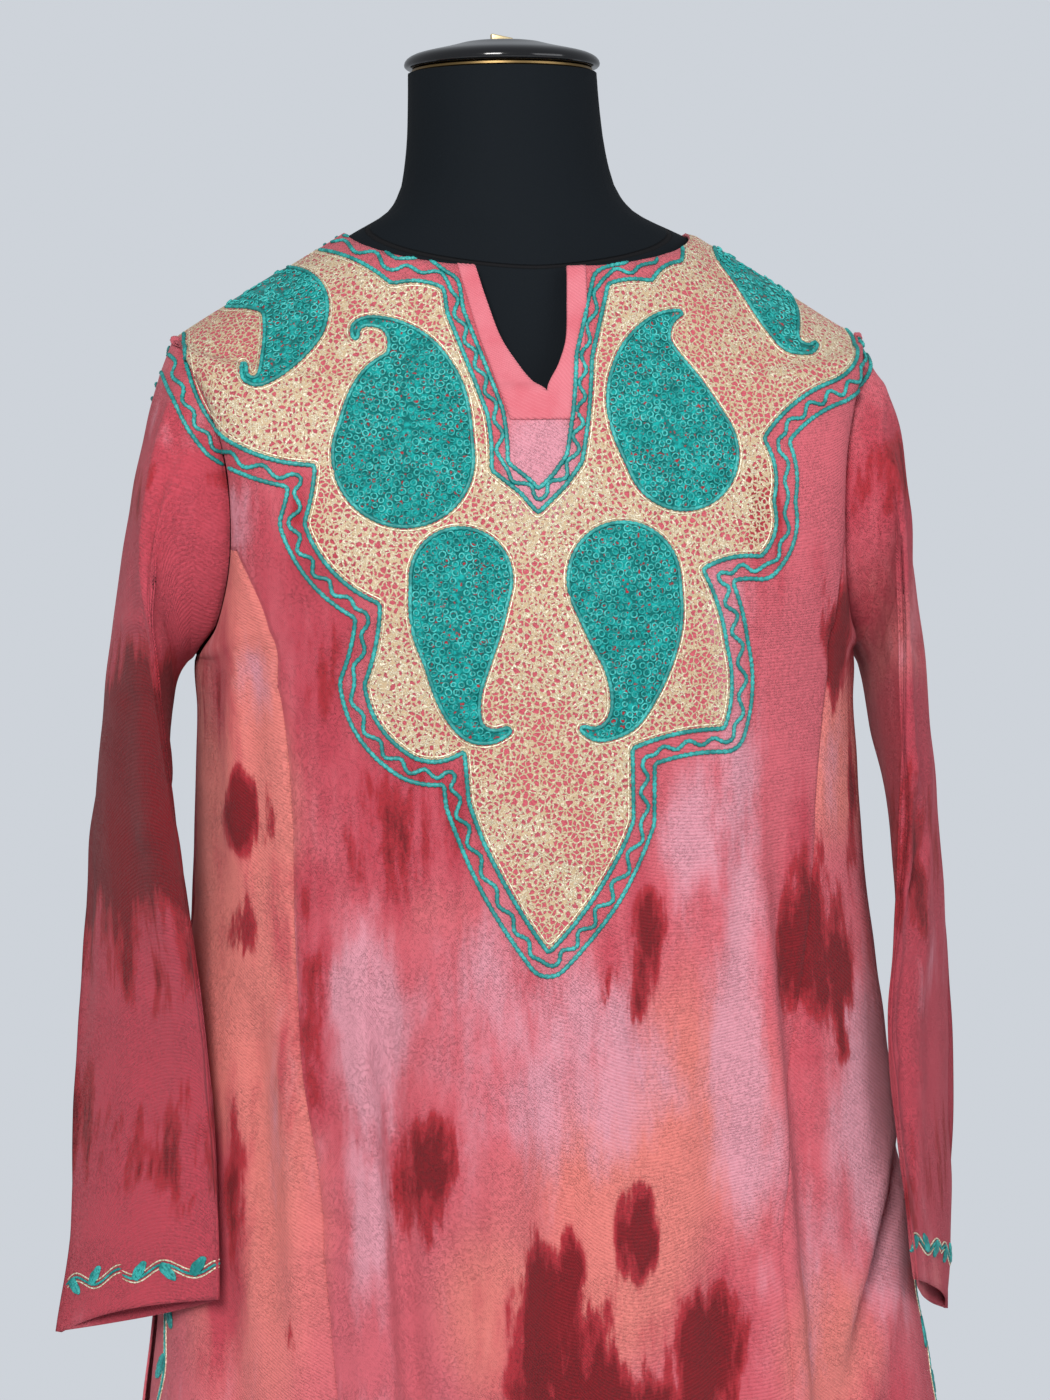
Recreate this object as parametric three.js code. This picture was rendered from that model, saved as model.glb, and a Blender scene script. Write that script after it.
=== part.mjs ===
// A pheran, a loose long-sleeved tunic, worn on a limbless dress form with a pole and a round base.
// Millimetres, +Z up. The front faces -Y and the wearer's right side is at -X. The floor is z = 0.
import * as THREE from 'three';

// Driving dimensions of the cloth
const clothWall = 1.6; // thickness of each cloth wall
const seamGap = 0.3; // distance between two sewn pieces
const facingWall = 1.0; // thickness of the facing round the neck slit
const sectionPower = 2.3; // how square the body's sections are, 2 is an ellipse
const slopePower = 1.3; // how the rows fall from the shoulder to the middle

// Armhole: an upright oval, from the shoulder point to the underarm
const armholeMiddle = 1195;
const armholeHalfHeight = 93;
const armholeHalfDepth = 72;
const armholeSteps = 10;

// Grid of the body: cells across half a panel, across a gore, and the rows
const frontHalfCells = 10;
const backHalfCells = 7;
const goreCells = 3;
const shoulderSteps = 4;
const goreTopRow = 10;
const underarmRow = shoulderSteps + armholeSteps;
const sideSteps = 17;
const hemRow = underarmRow + sideSteps;
const hemHeight = 300;
const facingColumn = 10; // width of the first column of cells beside the slit

// Shoulder seam, from the neck point to the shoulder point
const neckPoint = { x: 103, z: 1350 };
const shoulderPoint = { x: 205, z: 1288 };

// Half width of the body at the armhole and the side seam
const bodyWidths = [
  { z: 300, half: 268 }, { z: 500, half: 254 }, { z: 650, half: 240 }, { z: 705, half: 232 },
  { z: 760, half: 227 }, { z: 815, half: 221 }, { z: 890, half: 212 }, { z: 960, half: 203 },
  { z: 1030, half: 199 }, { z: 1070, half: 197 }, { z: 1102, half: 197 }, { z: 1120, half: 188 },
  { z: 1140, half: 183 }, { z: 1166, half: 180 }, { z: 1195, half: 180 }, { z: 1224, half: 183 },
  { z: 1250, half: 190 }, { z: 1270, half: 198 }, { z: 1288, half: 205 },
];

// How far the cloth stands forward and backward on the centre lines
const bodyDepths = [
  { z: 300, front: 152, back: 140 }, { z: 500, front: 145, back: 130 }, { z: 700, front: 136, back: 118 },
  { z: 800, front: 131, back: 112 }, { z: 900, front: 126, back: 104 }, { z: 1000, front: 124, back: 98 },
  { z: 1100, front: 126, back: 99 }, { z: 1150, front: 122, back: 101 }, { z: 1200, front: 113, back: 101 },
  { z: 1255, front: 100, back: 97 }, { z: 1290, front: 88, back: 88 }, { z: 1326, front: 75, back: 78 },
  { z: 1340, front: 72, back: 71 },
];

// Height of each of the upper rows on the centre line of the front and of the back
const centreHeights = [
  { row: 0, front: 1326, back: 1338 }, { row: 1, front: 1306, back: 1326 },
  { row: 2, front: 1285, back: 1314 }, { row: 3, front: 1270, back: 1301 },
  { row: 4, front: 1260, back: 1288 }, { row: 5, front: 1254, back: 1276 },
  { row: 6, front: 1238, back: 1260 }, { row: 7, front: 1219, back: 1241 },
  { row: 8, front: 1199, back: 1219 }, { row: 9, front: 1178, back: 1195 },
  { row: 10, front: 1157, back: 1170 }, { row: 11, front: 1138, back: 1147 },
  { row: 12, front: 1122, back: 1128 }, { row: 13, front: 1109, back: 1112 },
  { row: 14, front: 1097, back: 1098 },
];

// The neck slit: its two edges, from the neckline down
const slitEdges = [
  { row: 0, left: 36, right: 17 }, { row: 1, left: 31, right: 15.5 }, { row: 2, left: 24.5, right: 13.5 },
  { row: 3, left: 16, right: 8 }, { row: 4, left: 8.5, right: 2 },
];
const slitBottomRow = slitEdges.length;

// Where the gores are sewn to the front and the back, from the centre line
const goreSeams = [
  { z: 300, left: 144, right: 136, back: 140 }, { z: 500, left: 139, right: 129, back: 134 },
  { z: 654, left: 136, right: 124, back: 130 }, { z: 762, left: 141, right: 119, back: 130 },
  { z: 808, left: 143, right: 126, back: 134 }, { z: 867, left: 150, right: 137, back: 143 },
  { z: 955, left: 151, right: 151, back: 151 }, { z: 1012, left: 151, right: 157, back: 154 },
  { z: 1075, left: 154, right: 164, back: 159 }, { z: 1129, left: 164, right: 173, back: 169 },
  { z: 1166, left: 178, right: 178, back: 178 },
];

// Soft hanging folds: where each starts and ends, its half width and its height, negative is a trough
const bodyFolds = [
  { face: 'front', topZ: 1010, topX: -126, endX: -108, width: 11, depth: 5.5 },
  { face: 'front', topZ: 1000, topX: -108, endX: -88, width: 13, depth: -4.5 },
  { face: 'front', topZ: 960, topX: 105, endX: 124, width: 17, depth: 8 },
  { face: 'front', topZ: 930, topX: 82, endX: 94, width: 16, depth: -5 },
  { face: 'front', topZ: 1010, topX: -42, endX: -50, width: 20, depth: 5 },
  { face: 'front', topZ: 960, topX: -10, endX: -14, width: 17, depth: -4.5 },
  { face: 'front', topZ: 980, topX: 24, endX: 36, width: 20, depth: 5.5 },
  { face: 'front', topZ: 880, topX: -192, endX: -196, width: 12, depth: -8 },
  { face: 'front', topZ: 800, topX: 196, endX: 176, width: 14, depth: -7 },
  { face: 'back', topZ: 1060, topX: -104, endX: -118, width: 18, depth: 7 },
  { face: 'back', topZ: 1000, topX: -60, endX: -68, width: 20, depth: -5 },
  { face: 'back', topZ: 1080, topX: -8, endX: 6, width: 22, depth: 6 },
  { face: 'back', topZ: 1010, topX: 52, endX: 66, width: 20, depth: -5.5 },
  { face: 'back', topZ: 1050, topX: 98, endX: 114, width: 18, depth: 7 },
  { face: 'back', topZ: 860, topX: -190, endX: -194, width: 14, depth: -7 },
  { face: 'back', topZ: 840, topX: 188, endX: 192, width: 14, depth: -7 },
];
const foldGrowth = 260; // a fold reaches its full height this far below its start
const foldFade = 3; // how fast a fold dies out at the side seams

// The garment hangs a little askew: from the shoulder points down it drifts towards +X
const driftPerMetre = 12.5;

// Side slits: below this height the front and back gores part
const slitTop = 760;
const slitGapAtHem = 9; // how far the two edges part at the hem
const backFlareAtHem = 12; // how far the back gore's edge stands out past the front one's

// Sleeves: the four fold points of each section, x counted away from the body, and how sharp the folds are
const sleeveColumns = [
  'outX', 'outZ', 'inX', 'inZ', 'frontX', 'frontY', 'frontZ', 'backX', 'backY', 'backZ', 'crease',
];
const nameValues = (row) => Object.fromEntries(row.map((value, i) => [sleeveColumns[i], value]));
const namedRows = (rows) => rows.map(nameValues);
const leftSleeve = namedRows([
  [213, 1268, 202, 1098, 201, -75, 1200, 199, 75, 1200, 0],
  [222, 1240, 206, 1092, 216, -79, 1192, 213, 78, 1190, 0.2],
  [231, 1200, 209, 1084, 224, -81, 1172, 222, 81, 1165, 0.5],
  [238, 1160, 211, 1072, 227, -82, 1142, 229, 83, 1130, 0.8],
  [245, 1118, 213, 1056, 226, -81, 1108, 236, 82, 1092, 1],
  [251, 1075, 216, 1036, 223, -80, 1070, 244, 78, 1052, 1],
  [253, 1014, 223, 1006, 217, -78, 1016, 257, 68, 1004, 1],
  [249, 955, 226, 955, 210, -76, 955, 263, 57, 955, 1],
  [247, 880, 226, 880, 203, -80, 880, 271, 42, 880, 1],
  [248, 818, 228, 818, 200, -84, 824, 277, 28, 812, 1],
  [250, 768, 231, 768, 200, -87, 779, 281, 10, 757, 1],
  [255, 723, 238, 719, 201, -88, 737, 291, -6, 702, 1],
]);
const rightSleeve = namedRows([
  [212, 1268, 202, 1098, 199, -74, 1202, 199, 74, 1200, 0],
  [220, 1240, 206, 1092, 208, -77, 1195, 211, 77, 1190, 0.2],
  [228, 1200, 209, 1084, 211, -78, 1172, 219, 79, 1165, 0.5],
  [235, 1160, 211, 1072, 212, -78, 1142, 226, 80, 1130, 0.8],
  [242, 1118, 212, 1056, 213, -76, 1108, 233, 78, 1092, 1],
  [247, 1075, 214, 1036, 213, -74, 1070, 240, 74, 1052, 1],
  [252, 1010, 219, 1006, 213, -73, 1012, 257, 62, 1004, 1],
  [250, 942, 226, 942, 207, -77, 944, 268, 48, 940, 1],
  [245, 880, 225, 880, 199, -84, 884, 269, 36, 877, 1],
  [241, 822, 224, 822, 200, -92, 832, 265, 22, 814, 1],
  [238, 766, 225, 766, 203, -101, 781, 259, 5, 752, 1],
  [236, 714, 223, 711, 206, -108, 734, 252, -8, 690, 1],
]);
const ringsPerSection = 2; // rings made from one row of a sleeve's table to the next

// Dress form: sections of the torso and neck
const formSections = [
  { z: 700, half: 158, front: 98, back: 92, shift: 0, power: 2.2 },
  { z: 712, half: 163, front: 102, back: 95, shift: 0, power: 2.2 },
  { z: 760, half: 167, front: 106, back: 96, shift: 0, power: 2.2 },
  { z: 820, half: 168, front: 107, back: 95, shift: 0, power: 2.2 },
  { z: 880, half: 158, front: 103, back: 90, shift: 0, power: 2.2 },
  { z: 940, half: 138, front: 93, back: 82, shift: 0, power: 2.2 },
  { z: 1000, half: 124, front: 84, back: 77, shift: 0, power: 2.2 },
  { z: 1060, half: 130, front: 88, back: 79, shift: 0, power: 2.2 },
  { z: 1110, half: 146, front: 97, back: 83, shift: 0, power: 2.2 },
  { z: 1160, half: 158, front: 103, back: 86, shift: 0, power: 2.2 },
  { z: 1200, half: 163, front: 99, back: 87, shift: 0, power: 2.2 },
  { z: 1235, half: 169, front: 92, back: 86, shift: 0, power: 2.1 },
  { z: 1262, half: 176, front: 85, back: 82, shift: 0, power: 1.9 },
  { z: 1286, half: 187, front: 79, back: 76, shift: 0, power: 1.7 },
  { z: 1298, half: 183.5, front: 76, back: 73, shift: 0, power: 1.6 },
  { z: 1314, half: 157.3, front: 72, back: 69, shift: 0, power: 1.5 },
  { z: 1330, half: 131, front: 69, back: 66, shift: 0, power: 1.5 },
  { z: 1347, half: 103, front: 66, back: 64, shift: 0, power: 1.5 },
  { z: 1354, half: 88, front: 64, back: 62, shift: -2.5, power: 1.7 },
  { z: 1361, half: 73, front: 62, back: 60, shift: -4, power: 2 },
  { z: 1375, half: 63, front: 59, back: 57, shift: -5.5, power: 2 },
  { z: 1405, half: 58, front: 56, back: 55, shift: -6.8, power: 2 },
  { z: 1443, half: 56, front: 54, back: 54, shift: -8, power: 2 },
];
const formColumns = 32;

const neckLean = formSections[formSections.length - 1].shift;

// Neck cap, pole and base
const neckTop = formSections[formSections.length - 1].z;
const plateRadius = 52;
const plateHeight = 2.4;
const capBottom = neckTop + seamGap + plateHeight + seamGap;
const capProfile = [
  { r: 54, up: 0 }, { r: 57.2, up: 0.6 }, { r: 58, up: 2.4 }, { r: 56.8, up: 4.6 },
  { r: 50, up: 7.6 }, { r: 40, up: 11.4 }, { r: 31, up: 14.6 }, { r: 26, up: 15.6 }, { r: 23, up: 15.8 },
];
const capHeight = capProfile[capProfile.length - 1].up;
const knob = { length: 13, height: 4.4, flat: 3.6, depth: 6, tip: 0.6 };
const poleRadius = 16;
const baseProfile = [
  { r: 200, z: 0 }, { r: 200, z: 14 }, { r: 196, z: 18 }, { r: 60, z: 24 },
  { r: 34, z: 30 }, { r: 30, z: 36 }, { r: 30, z: 62 },
];
const roundSides = 40;

// Finishes
const clothFinish = { color: 0xc4707a, roughness: 0.85, metalness: 0 };
const facingFinish = { color: 0xe0828c, roughness: 0.85, metalness: 0 };
const formFinish = { color: 0x1c2126, roughness: 0.8, metalness: 0 };
const capFinish = { color: 0x101114, roughness: 0.15, metalness: 0 };
const brassFinish = { color: 0xb8995a, roughness: 0.35, metalness: 1 };
const standFinish = { color: 0x17191c, roughness: 0.45, metalness: 0.6 };

const group = new THREE.Group();

// One row between the rows of a table, by a smooth curve through each named column
function readTable(table, key, at) {
  const last = table.length - 1;
  let i = 0;
  while (i < last - 1 && at > table[i + 1][key]) i += 1;
  const span = table[i + 1][key] - table[i][key];
  const t = Math.min(1, Math.max(0, (at - table[i][key]) / span));
  const slope = (j, name) => {
    const a = table[Math.max(0, j - 1)];
    const b = table[Math.min(last, j + 1)];
    return ((b[name] - a[name]) / (b[key] - a[key])) * span;
  };
  const row = {};
  for (const name of Object.keys(table[0])) {
    if (typeof table[0][name] !== 'number') continue;
    const a = table[i][name];
    const b = table[i + 1][name];
    row[name] = a * (1 - t) ** 2 * (1 + 2 * t) + b * t * t * (3 - 2 * t)
      + slope(i, name) * t * (1 - t) ** 2 - slope(i + 1, name) * t * t * (1 - t);
  }
  return row;
}

const smoothStep = (t) => {
  const s = Math.min(1, Math.max(0, t));
  return s * s * (3 - 2 * s);
};

// Edge of the body at a row: along the shoulder seam, down the armhole, down the side seam
function rowEdge(row) {
  if (row <= shoulderSteps) {
    const t = row / shoulderSteps;
    return {
      x: neckPoint.x + (shoulderPoint.x - neckPoint.x) * t,
      y: 0,
      z: neckPoint.z + (shoulderPoint.z - neckPoint.z) * t,
    };
  }
  if (row < underarmRow) {
    const turn = (Math.PI * (row - shoulderSteps)) / armholeSteps;
    const z = armholeMiddle + armholeHalfHeight * Math.cos(turn);
    return { x: readTable(bodyWidths, 'z', z).half, y: armholeHalfDepth * Math.sin(turn), z };
  }
  const underarm = armholeMiddle - armholeHalfHeight;
  const z = underarm + ((hemHeight - underarm) * (row - underarmRow)) / sideSteps;
  return { x: readTable(bodyWidths, 'z', z).half, y: 0, z };
}

const driftAt = (z) => (Math.max(0, shoulderPoint.z - z) / 1000) * driftPerMetre;

// Height that the folds add at a place on the front or the back
function foldHeight(face, x, z) {
  let height = 0;
  for (const fold of bodyFolds) {
    if (fold.face !== face || z > fold.topZ) continue;
    const down = (fold.topZ - z) / (fold.topZ - hemHeight);
    const middle = fold.topX + (fold.endX - fold.topX) * down;
    const grown = smoothStep((fold.topZ - z) / foldGrowth);
    height += fold.depth * grown * Math.exp(-(((x - middle) / fold.width) ** 2));
  }
  return height;
}

// A point of the body's outer surface: face, row, and x as a share of the row's half width
function bodyPoint(face, row, share) {
  const edge = rowEdge(row);
  const isFront = face === 'front';
  const height = row <= underarmRow ? readTable(centreHeights, 'row', row)[face] : edge.z;
  const deep = readTable(bodyDepths, 'z', height)[face];
  const inward = Math.max(0, 1 - Math.abs(share) ** sectionPower) ** (1 / sectionPower);
  const x = edge.x * share;
  const y = edge.y + (deep - edge.y) * inward;
  const z = edge.z + (height - edge.z) * inward ** slopePower;
  const fold = foldHeight(face, x, z) * smoothStep(inward * foldFade);
  const out = new THREE.Vector2(x / edge.x, y / deep).normalize().multiplyScalar(fold);
  return new THREE.Vector3(x + out.x + driftAt(z), isFront ? -(y + out.y) : y + out.y, z);
}

// Turns even steps into shares of the half width, closer together where the section bends
const shareOf = (turn) => Math.sin((turn * Math.PI) / 2) ** (2 / sectionPower);
const turnOf = (share) => (Math.asin(Math.min(1, share ** (sectionPower / 2))) * 2) / Math.PI;

// Share of the half width at which a gore is sewn on; above the gore it runs on up the panel
function goreShare(face, side, row) {
  const edge = rowEdge(Math.max(row, goreTopRow));
  const column = face === 'back' ? 'back' : side < 0 ? 'left' : 'right';
  return readTable(goreSeams, 'z', edge.z)[column] / edge.x;
}

// Slit edge at a row of the front, as a share, or the centre line below it
function slitShare(side, row) {
  if (row >= slitBottomRow) return 0;
  return slitEdges[row][side < 0 ? 'left' : 'right'] / rowEdge(row).x;
}

// The body's grid: a point for each face, side, row and column, counted from the centre line out
const bodyGrid = {};
for (const face of ['front', 'back']) {
  const halfCells = face === 'front' ? frontHalfCells : backHalfCells;
  for (const side of [-1, 1]) {
    const rows = [];
    for (let row = 0; row <= hemRow; row += 1) {
      const start = face === 'front' ? slitShare(side, row) : 0;
      const seam = turnOf(goreShare(face, side, row));
      const first = turnOf(start + facingColumn / rowEdge(row).x);
      const points = [bodyPoint(face, row, side * start)];
      for (let i = 1; i <= halfCells; i += 1) {
        const turn = first + ((seam - first) * (i - 1)) / (halfCells - 1);
        points.push(bodyPoint(face, row, side * shareOf(turn)));
      }
      for (let i = 1; i <= goreCells; i += 1) {
        points.push(bodyPoint(face, row, side * shareOf(seam + ((1 - seam) * i) / goreCells)));
      }
      rows.push(points);
    }
    bodyGrid[face + side] = rows;
  }
}

// Spreads the slit below its top: the front edge draws in and the back edge stands out
for (let row = underarmRow; row <= hemRow; row += 1) {
  const down = Math.max(0, (slitTop - rowEdge(row).z) / (slitTop - hemHeight));
  for (const side of [-1, 1]) {
    for (let i = 1; i <= goreCells; i += 1) {
      const front = bodyGrid[`front${side}`][row][frontHalfCells + i];
      const back = bodyGrid[`back${side}`][row][backHalfCells + i];
      const reach = (i / goreCells) ** 2;
      front.y -= slitGapAtHem * down * reach * 0.5;
      back.y += slitGapAtHem * down * reach * 0.5;
      back.x += side * backFlareAtHem * down * reach;
    }
  }
}

// Outward directions at each grid point, from the whole body's surface, so that panels meet cleanly
const gridNormals = {};
const sameSpot = (p) => `${p.x.toFixed(2)},${p.y.toFixed(2)},${p.z.toFixed(2)}`;
const spotNormals = new Map();
function addFaceNormal(corners) {
  const a = new THREE.Vector3().subVectors(corners[2], corners[0]);
  const b = new THREE.Vector3().subVectors(corners[3], corners[1]);
  const normal = new THREE.Vector3().crossVectors(a, b);
  for (const corner of corners) {
    const spot = sameSpot(corner);
    if (!spotNormals.has(spot)) spotNormals.set(spot, new THREE.Vector3());
    spotNormals.get(spot).add(normal);
  }
}
const windsBackward = (face, side) => (face === 'front') === (side > 0);
for (const [name, rows] of Object.entries(bodyGrid)) {
  const face = name.startsWith('front') ? 'front' : 'back';
  const side = name.endsWith('-1') ? -1 : 1;
  for (let row = 0; row < hemRow; row += 1) {
    for (let i = 0; i < rows[row].length - 1; i += 1) {
      const corners = [rows[row][i], rows[row + 1][i], rows[row + 1][i + 1], rows[row][i + 1]];
      addFaceNormal(windsBackward(face, side) ? corners : corners.reverse());
    }
  }
}
for (const [name, rows] of Object.entries(bodyGrid)) {
  gridNormals[name] = rows.map((points, row) => points.map((point, i) => {
    const onArmhole = i === points.length - 1 && row >= shoulderSteps && row <= underarmRow;
    if (onArmhole) return new THREE.Vector3(0, point.y, point.z - armholeMiddle).normalize();
    return spotNormals.get(sameSpot(point)).clone().normalize();
  }));
}

// A patch of cloth: points with outward directions, and cells that join them
class Patch {
  constructor() {
    this.points = [];
    this.normals = [];
    this.cells = [];
    this.index = new Map();
  }

  add(key, point, normal) {
    if (!this.index.has(key)) {
      this.index.set(key, this.points.length);
      this.points.push(point);
      this.normals.push(normal);
    }
    return this.index.get(key);
  }

  cell(a, b, c, d) {
    for (const triangle of [[a, b, c], [a, c, d]]) {
      if (new Set(triangle).size === 3) this.cells.push(triangle);
    }
  }

  // The closed wall between the patch moved by top and by bottom along its outward directions
  wall(top, bottom) {
    const count = this.points.length;
    const position = [];
    for (const distance of [top, bottom]) {
      for (let i = 0; i < count; i += 1) {
        const p = this.points[i];
        const n = this.normals[i];
        position.push(p.x + n.x * distance, p.y + n.y * distance, p.z + n.z * distance);
      }
    }
    const triangles = [];
    const edges = new Map();
    for (const [a, b, c] of this.cells) {
      triangles.push(a, b, c, a + count, c + count, b + count);
      for (const [from, to] of [[a, b], [b, c], [c, a]]) {
        if (edges.has(`${to},${from}`)) edges.delete(`${to},${from}`);
        else edges.set(`${from},${to}`, [from, to]);
      }
    }
    for (const [from, to] of edges.values()) {
      triangles.push(from, from + count, to + count, from, to + count, to);
    }
    return closedGeometry(position, triangles);
  }
}

function closedGeometry(position, triangles) {
  const geometry = new THREE.BufferGeometry();
  geometry.setAttribute('position', new THREE.Float32BufferAttribute(position, 3));
  geometry.setIndex(triangles);
  geometry.computeVertexNormals();
  return geometry;
}

function addPiece(name, geometry, finish, x = 0, y = 0, z = 0) {
  const mesh = new THREE.Mesh(geometry, new THREE.MeshStandardMaterial(finish));
  mesh.name = name;
  mesh.position.set(x, y, z);
  group.add(mesh);
}

// Adds cells of the body's grid to a patch, each point moved half a seam gap away from its own seams
function addGridCells(patch, face, side, rowRange, columnRange, seams) {
  const rows = bodyGrid[face + side];
  const normals = gridNormals[face + side];
  const corner = (row, i) => {
    const point = rows[row][i].clone();
    const onCentre = i === 0 && (face === 'back' || row >= slitBottomRow);
    const half = seamGap / 2;
    const moveTowards = (next) => {
      const step = new THREE.Vector3().subVectors(rows[row][next], rows[row][i]);
      point.add(step.setLength(half));
    };
    if (seams.inner === i) moveTowards(i + 1);
    if (seams.outer === i && seams.outerFrom <= row) moveTowards(i - 1);
    if (i === rows[row].length - 1 && row >= shoulderSteps && row <= underarmRow) point.x -= side * half;
    if (seams.topRow === row) point.z -= seamGap;
    if (seams.bottomRow === row && i >= seams.bottomFrom) point.z += half;
    const key = `${onCentre ? 0 : side},${row},${i}`;
    return patch.add(key, point, normals[row][i]);
  };
  for (let row = rowRange[0]; row < rowRange[1]; row += 1) {
    for (let i = columnRange[0]; i < columnRange[1]; i += 1) {
      const cell = [corner(row, i), corner(row + 1, i), corner(row + 1, i + 1), corner(row, i + 1)];
      if (windsBackward(face, side)) patch.cell(...cell);
      else patch.cell(...cell.reverse());
    }
  }
}

// Front and back panels: full width down to the gores, then between the gore seams
function makePanel(face) {
  const halfCells = face === 'front' ? frontHalfCells : backHalfCells;
  const patch = new Patch();
  for (const side of [-1, 1]) {
    const allCells = halfCells + goreCells;
    const seamsAbove = { outer: allCells, outerFrom: 0, bottomRow: goreTopRow, bottomFrom: halfCells };
    const seamsBelow = { outer: halfCells, outerFrom: goreTopRow + 1 };
    addGridCells(patch, face, side, [0, goreTopRow], [0, allCells], seamsAbove);
    addGridCells(patch, face, side, [goreTopRow, hemRow], [0, halfCells], seamsBelow);
  }
  addPiece(`${face}_panel`, patch.wall(0, -clothWall), clothFinish);
}

function makeGore(face, side) {
  const halfCells = face === 'front' ? frontHalfCells : backHalfCells;
  const patch = new Patch();
  const seams = { inner: halfCells, outer: halfCells + goreCells, outerFrom: 0, topRow: goreTopRow };
  addGridCells(patch, face, side, [goreTopRow, hemRow], [halfCells, halfCells + goreCells], seams);
  addPiece(`gore_${face}_${side < 0 ? 'left' : 'right'}`, patch.wall(0, -clothWall), clothFinish);
}

// The facing lies on the front, round the slit, made from the front's own points moved out
function makeFacing() {
  const patch = new Patch();
  for (const side of [-1, 1]) addGridCells(patch, 'front', side, [0, slitBottomRow + 1], [0, 1], {});
  addPiece('neck_facing', patch.wall(seamGap + facingWall, seamGap), facingFinish);
}

// Points of a sleeve's section, all round, from its four fold points
function sleeveRing(section, side) {
  const front = new THREE.Vector3(side * section.frontX, section.frontY, section.frontZ);
  const back = new THREE.Vector3(side * section.backX, section.backY, section.backZ);
  const middle = new THREE.Vector3().addVectors(front, back).multiplyScalar(0.5);
  const forward = new THREE.Vector3().subVectors(front, back).multiplyScalar(0.5);
  const outward = new THREE.Vector3(side * section.outX, middle.y, section.outZ).sub(middle);
  const inward = new THREE.Vector3(side * section.inX, middle.y, section.inZ).sub(middle);
  const points = [];
  for (let i = 0; i < 2 * armholeSteps; i += 1) {
    const turn = (Math.PI * i) / armholeSteps;
    const bulge = Math.abs(Math.cos(turn)) ** (1 + section.crease);
    const point = middle.clone()
      .addScaledVector(forward, Math.sin(turn))
      .addScaledVector(Math.cos(turn) > 0 ? outward : inward, bulge);
    point.x += driftAt(point.z);
    points.push(point);
  }
  return points;
}

// First ring of a sleeve: the armhole's own points, front first
function armholeRing(side) {
  const points = [];
  for (let i = 0; i < 2 * armholeSteps; i += 1) {
    const isFront = i <= armholeSteps;
    const edge = rowEdge(shoulderSteps + (isFront ? i : 2 * armholeSteps - i));
    const x = side * (edge.x + seamGap / 2) + driftAt(edge.z);
    points.push(new THREE.Vector3(x, isFront ? -edge.y : edge.y, edge.z));
  }
  return points;
}

function makeSleeve(name, table, side) {
  const sections = table.map((section, at) => ({ ...section, at: at + 1 }));
  const rings = [armholeRing(side)];
  const firstSection = sleeveRing(sections[0], side);
  rings.push(rings[0].map((point, i) => point.clone().lerp(firstSection[i], 0.5)));
  for (let step = 0; step <= (sections.length - 1) * ringsPerSection; step += 1) {
    rings.push(sleeveRing(readTable(sections, 'at', 1 + step / ringsPerSection), side));
  }
  const around = 2 * armholeSteps;
  const normals = rings.map((ring, row) => ring.map((point, i) => {
    if (row === 0) return new THREE.Vector3(0, point.y, point.z - armholeMiddle).normalize();
    const before = ring[(i + around - 1) % around];
    const after = ring[(i + 1) % around];
    const above = rings[row - 1][i];
    const below = rings[Math.min(rings.length - 1, row + 1)][i];
    const across = new THREE.Vector3().subVectors(after, before);
    return new THREE.Vector3().crossVectors(across, new THREE.Vector3().subVectors(below, above))
      .multiplyScalar(side).normalize();
  }));
  const patch = new Patch();
  const corner = (row, column) => {
    const i = column % around;
    return patch.add(`${row},${i}`, rings[row][i], normals[row][i]);
  };
  for (let row = 0; row < rings.length - 1; row += 1) {
    for (let i = 0; i < around; i += 1) {
      const cell = [corner(row, i), corner(row, i + 1), corner(row + 1, i + 1), corner(row + 1, i)];
      if (side < 0) cell.reverse();
      patch.cell(...cell);
    }
  }
  addPiece(name, patch.wall(0, -clothWall), clothFinish);
}

// Torso and neck in one closed skin
function makeForm() {
  const position = [];
  const triangles = [];
  for (const section of formSections) {
    for (let i = 0; i < formColumns; i += 1) {
      const turn = (2 * Math.PI * i) / formColumns;
      const across = Math.sin(turn);
      const along = Math.cos(turn);
      const x = section.half * Math.sign(across) * Math.abs(across) ** (2 / section.power);
      const depth = along > 0 ? section.front : section.back;
      const y = -depth * Math.sign(along) * Math.abs(along) ** (2 / section.power);
      position.push(section.shift + x, y, section.z);
    }
  }
  const rings = formSections.length;
  for (let row = 0; row < rings - 1; row += 1) {
    for (let i = 0; i < formColumns; i += 1) {
      const a = row * formColumns + i;
      const b = row * formColumns + ((i + 1) % formColumns);
      triangles.push(a, b, b + formColumns, a, b + formColumns, a + formColumns);
    }
  }
  const bottom = position.length / 3;
  position.push(0, 0, formSections[0].z, neckLean, 0, formSections[rings - 1].z);
  const topRow = (rings - 1) * formColumns;
  for (let i = 0; i < formColumns; i += 1) {
    const next = (i + 1) % formColumns;
    triangles.push(bottom, next, i, bottom + 1, topRow + i, topRow + next);
  }
  addPiece('form_body', closedGeometry(position, triangles), formFinish);
}

// A turned piece: outline points from the bottom up, closed on the axis, standing along Z
function turned(outline) {
  const first = outline[0];
  const last = outline[outline.length - 1];
  const points = [{ r: 0, z: first.z }, ...outline, { r: 0, z: last.z }];
  const geometry = new THREE.LatheGeometry(points.map((p) => new THREE.Vector2(p.r, p.z)), roundSides);
  return geometry.rotateX(Math.PI / 2);
}

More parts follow.
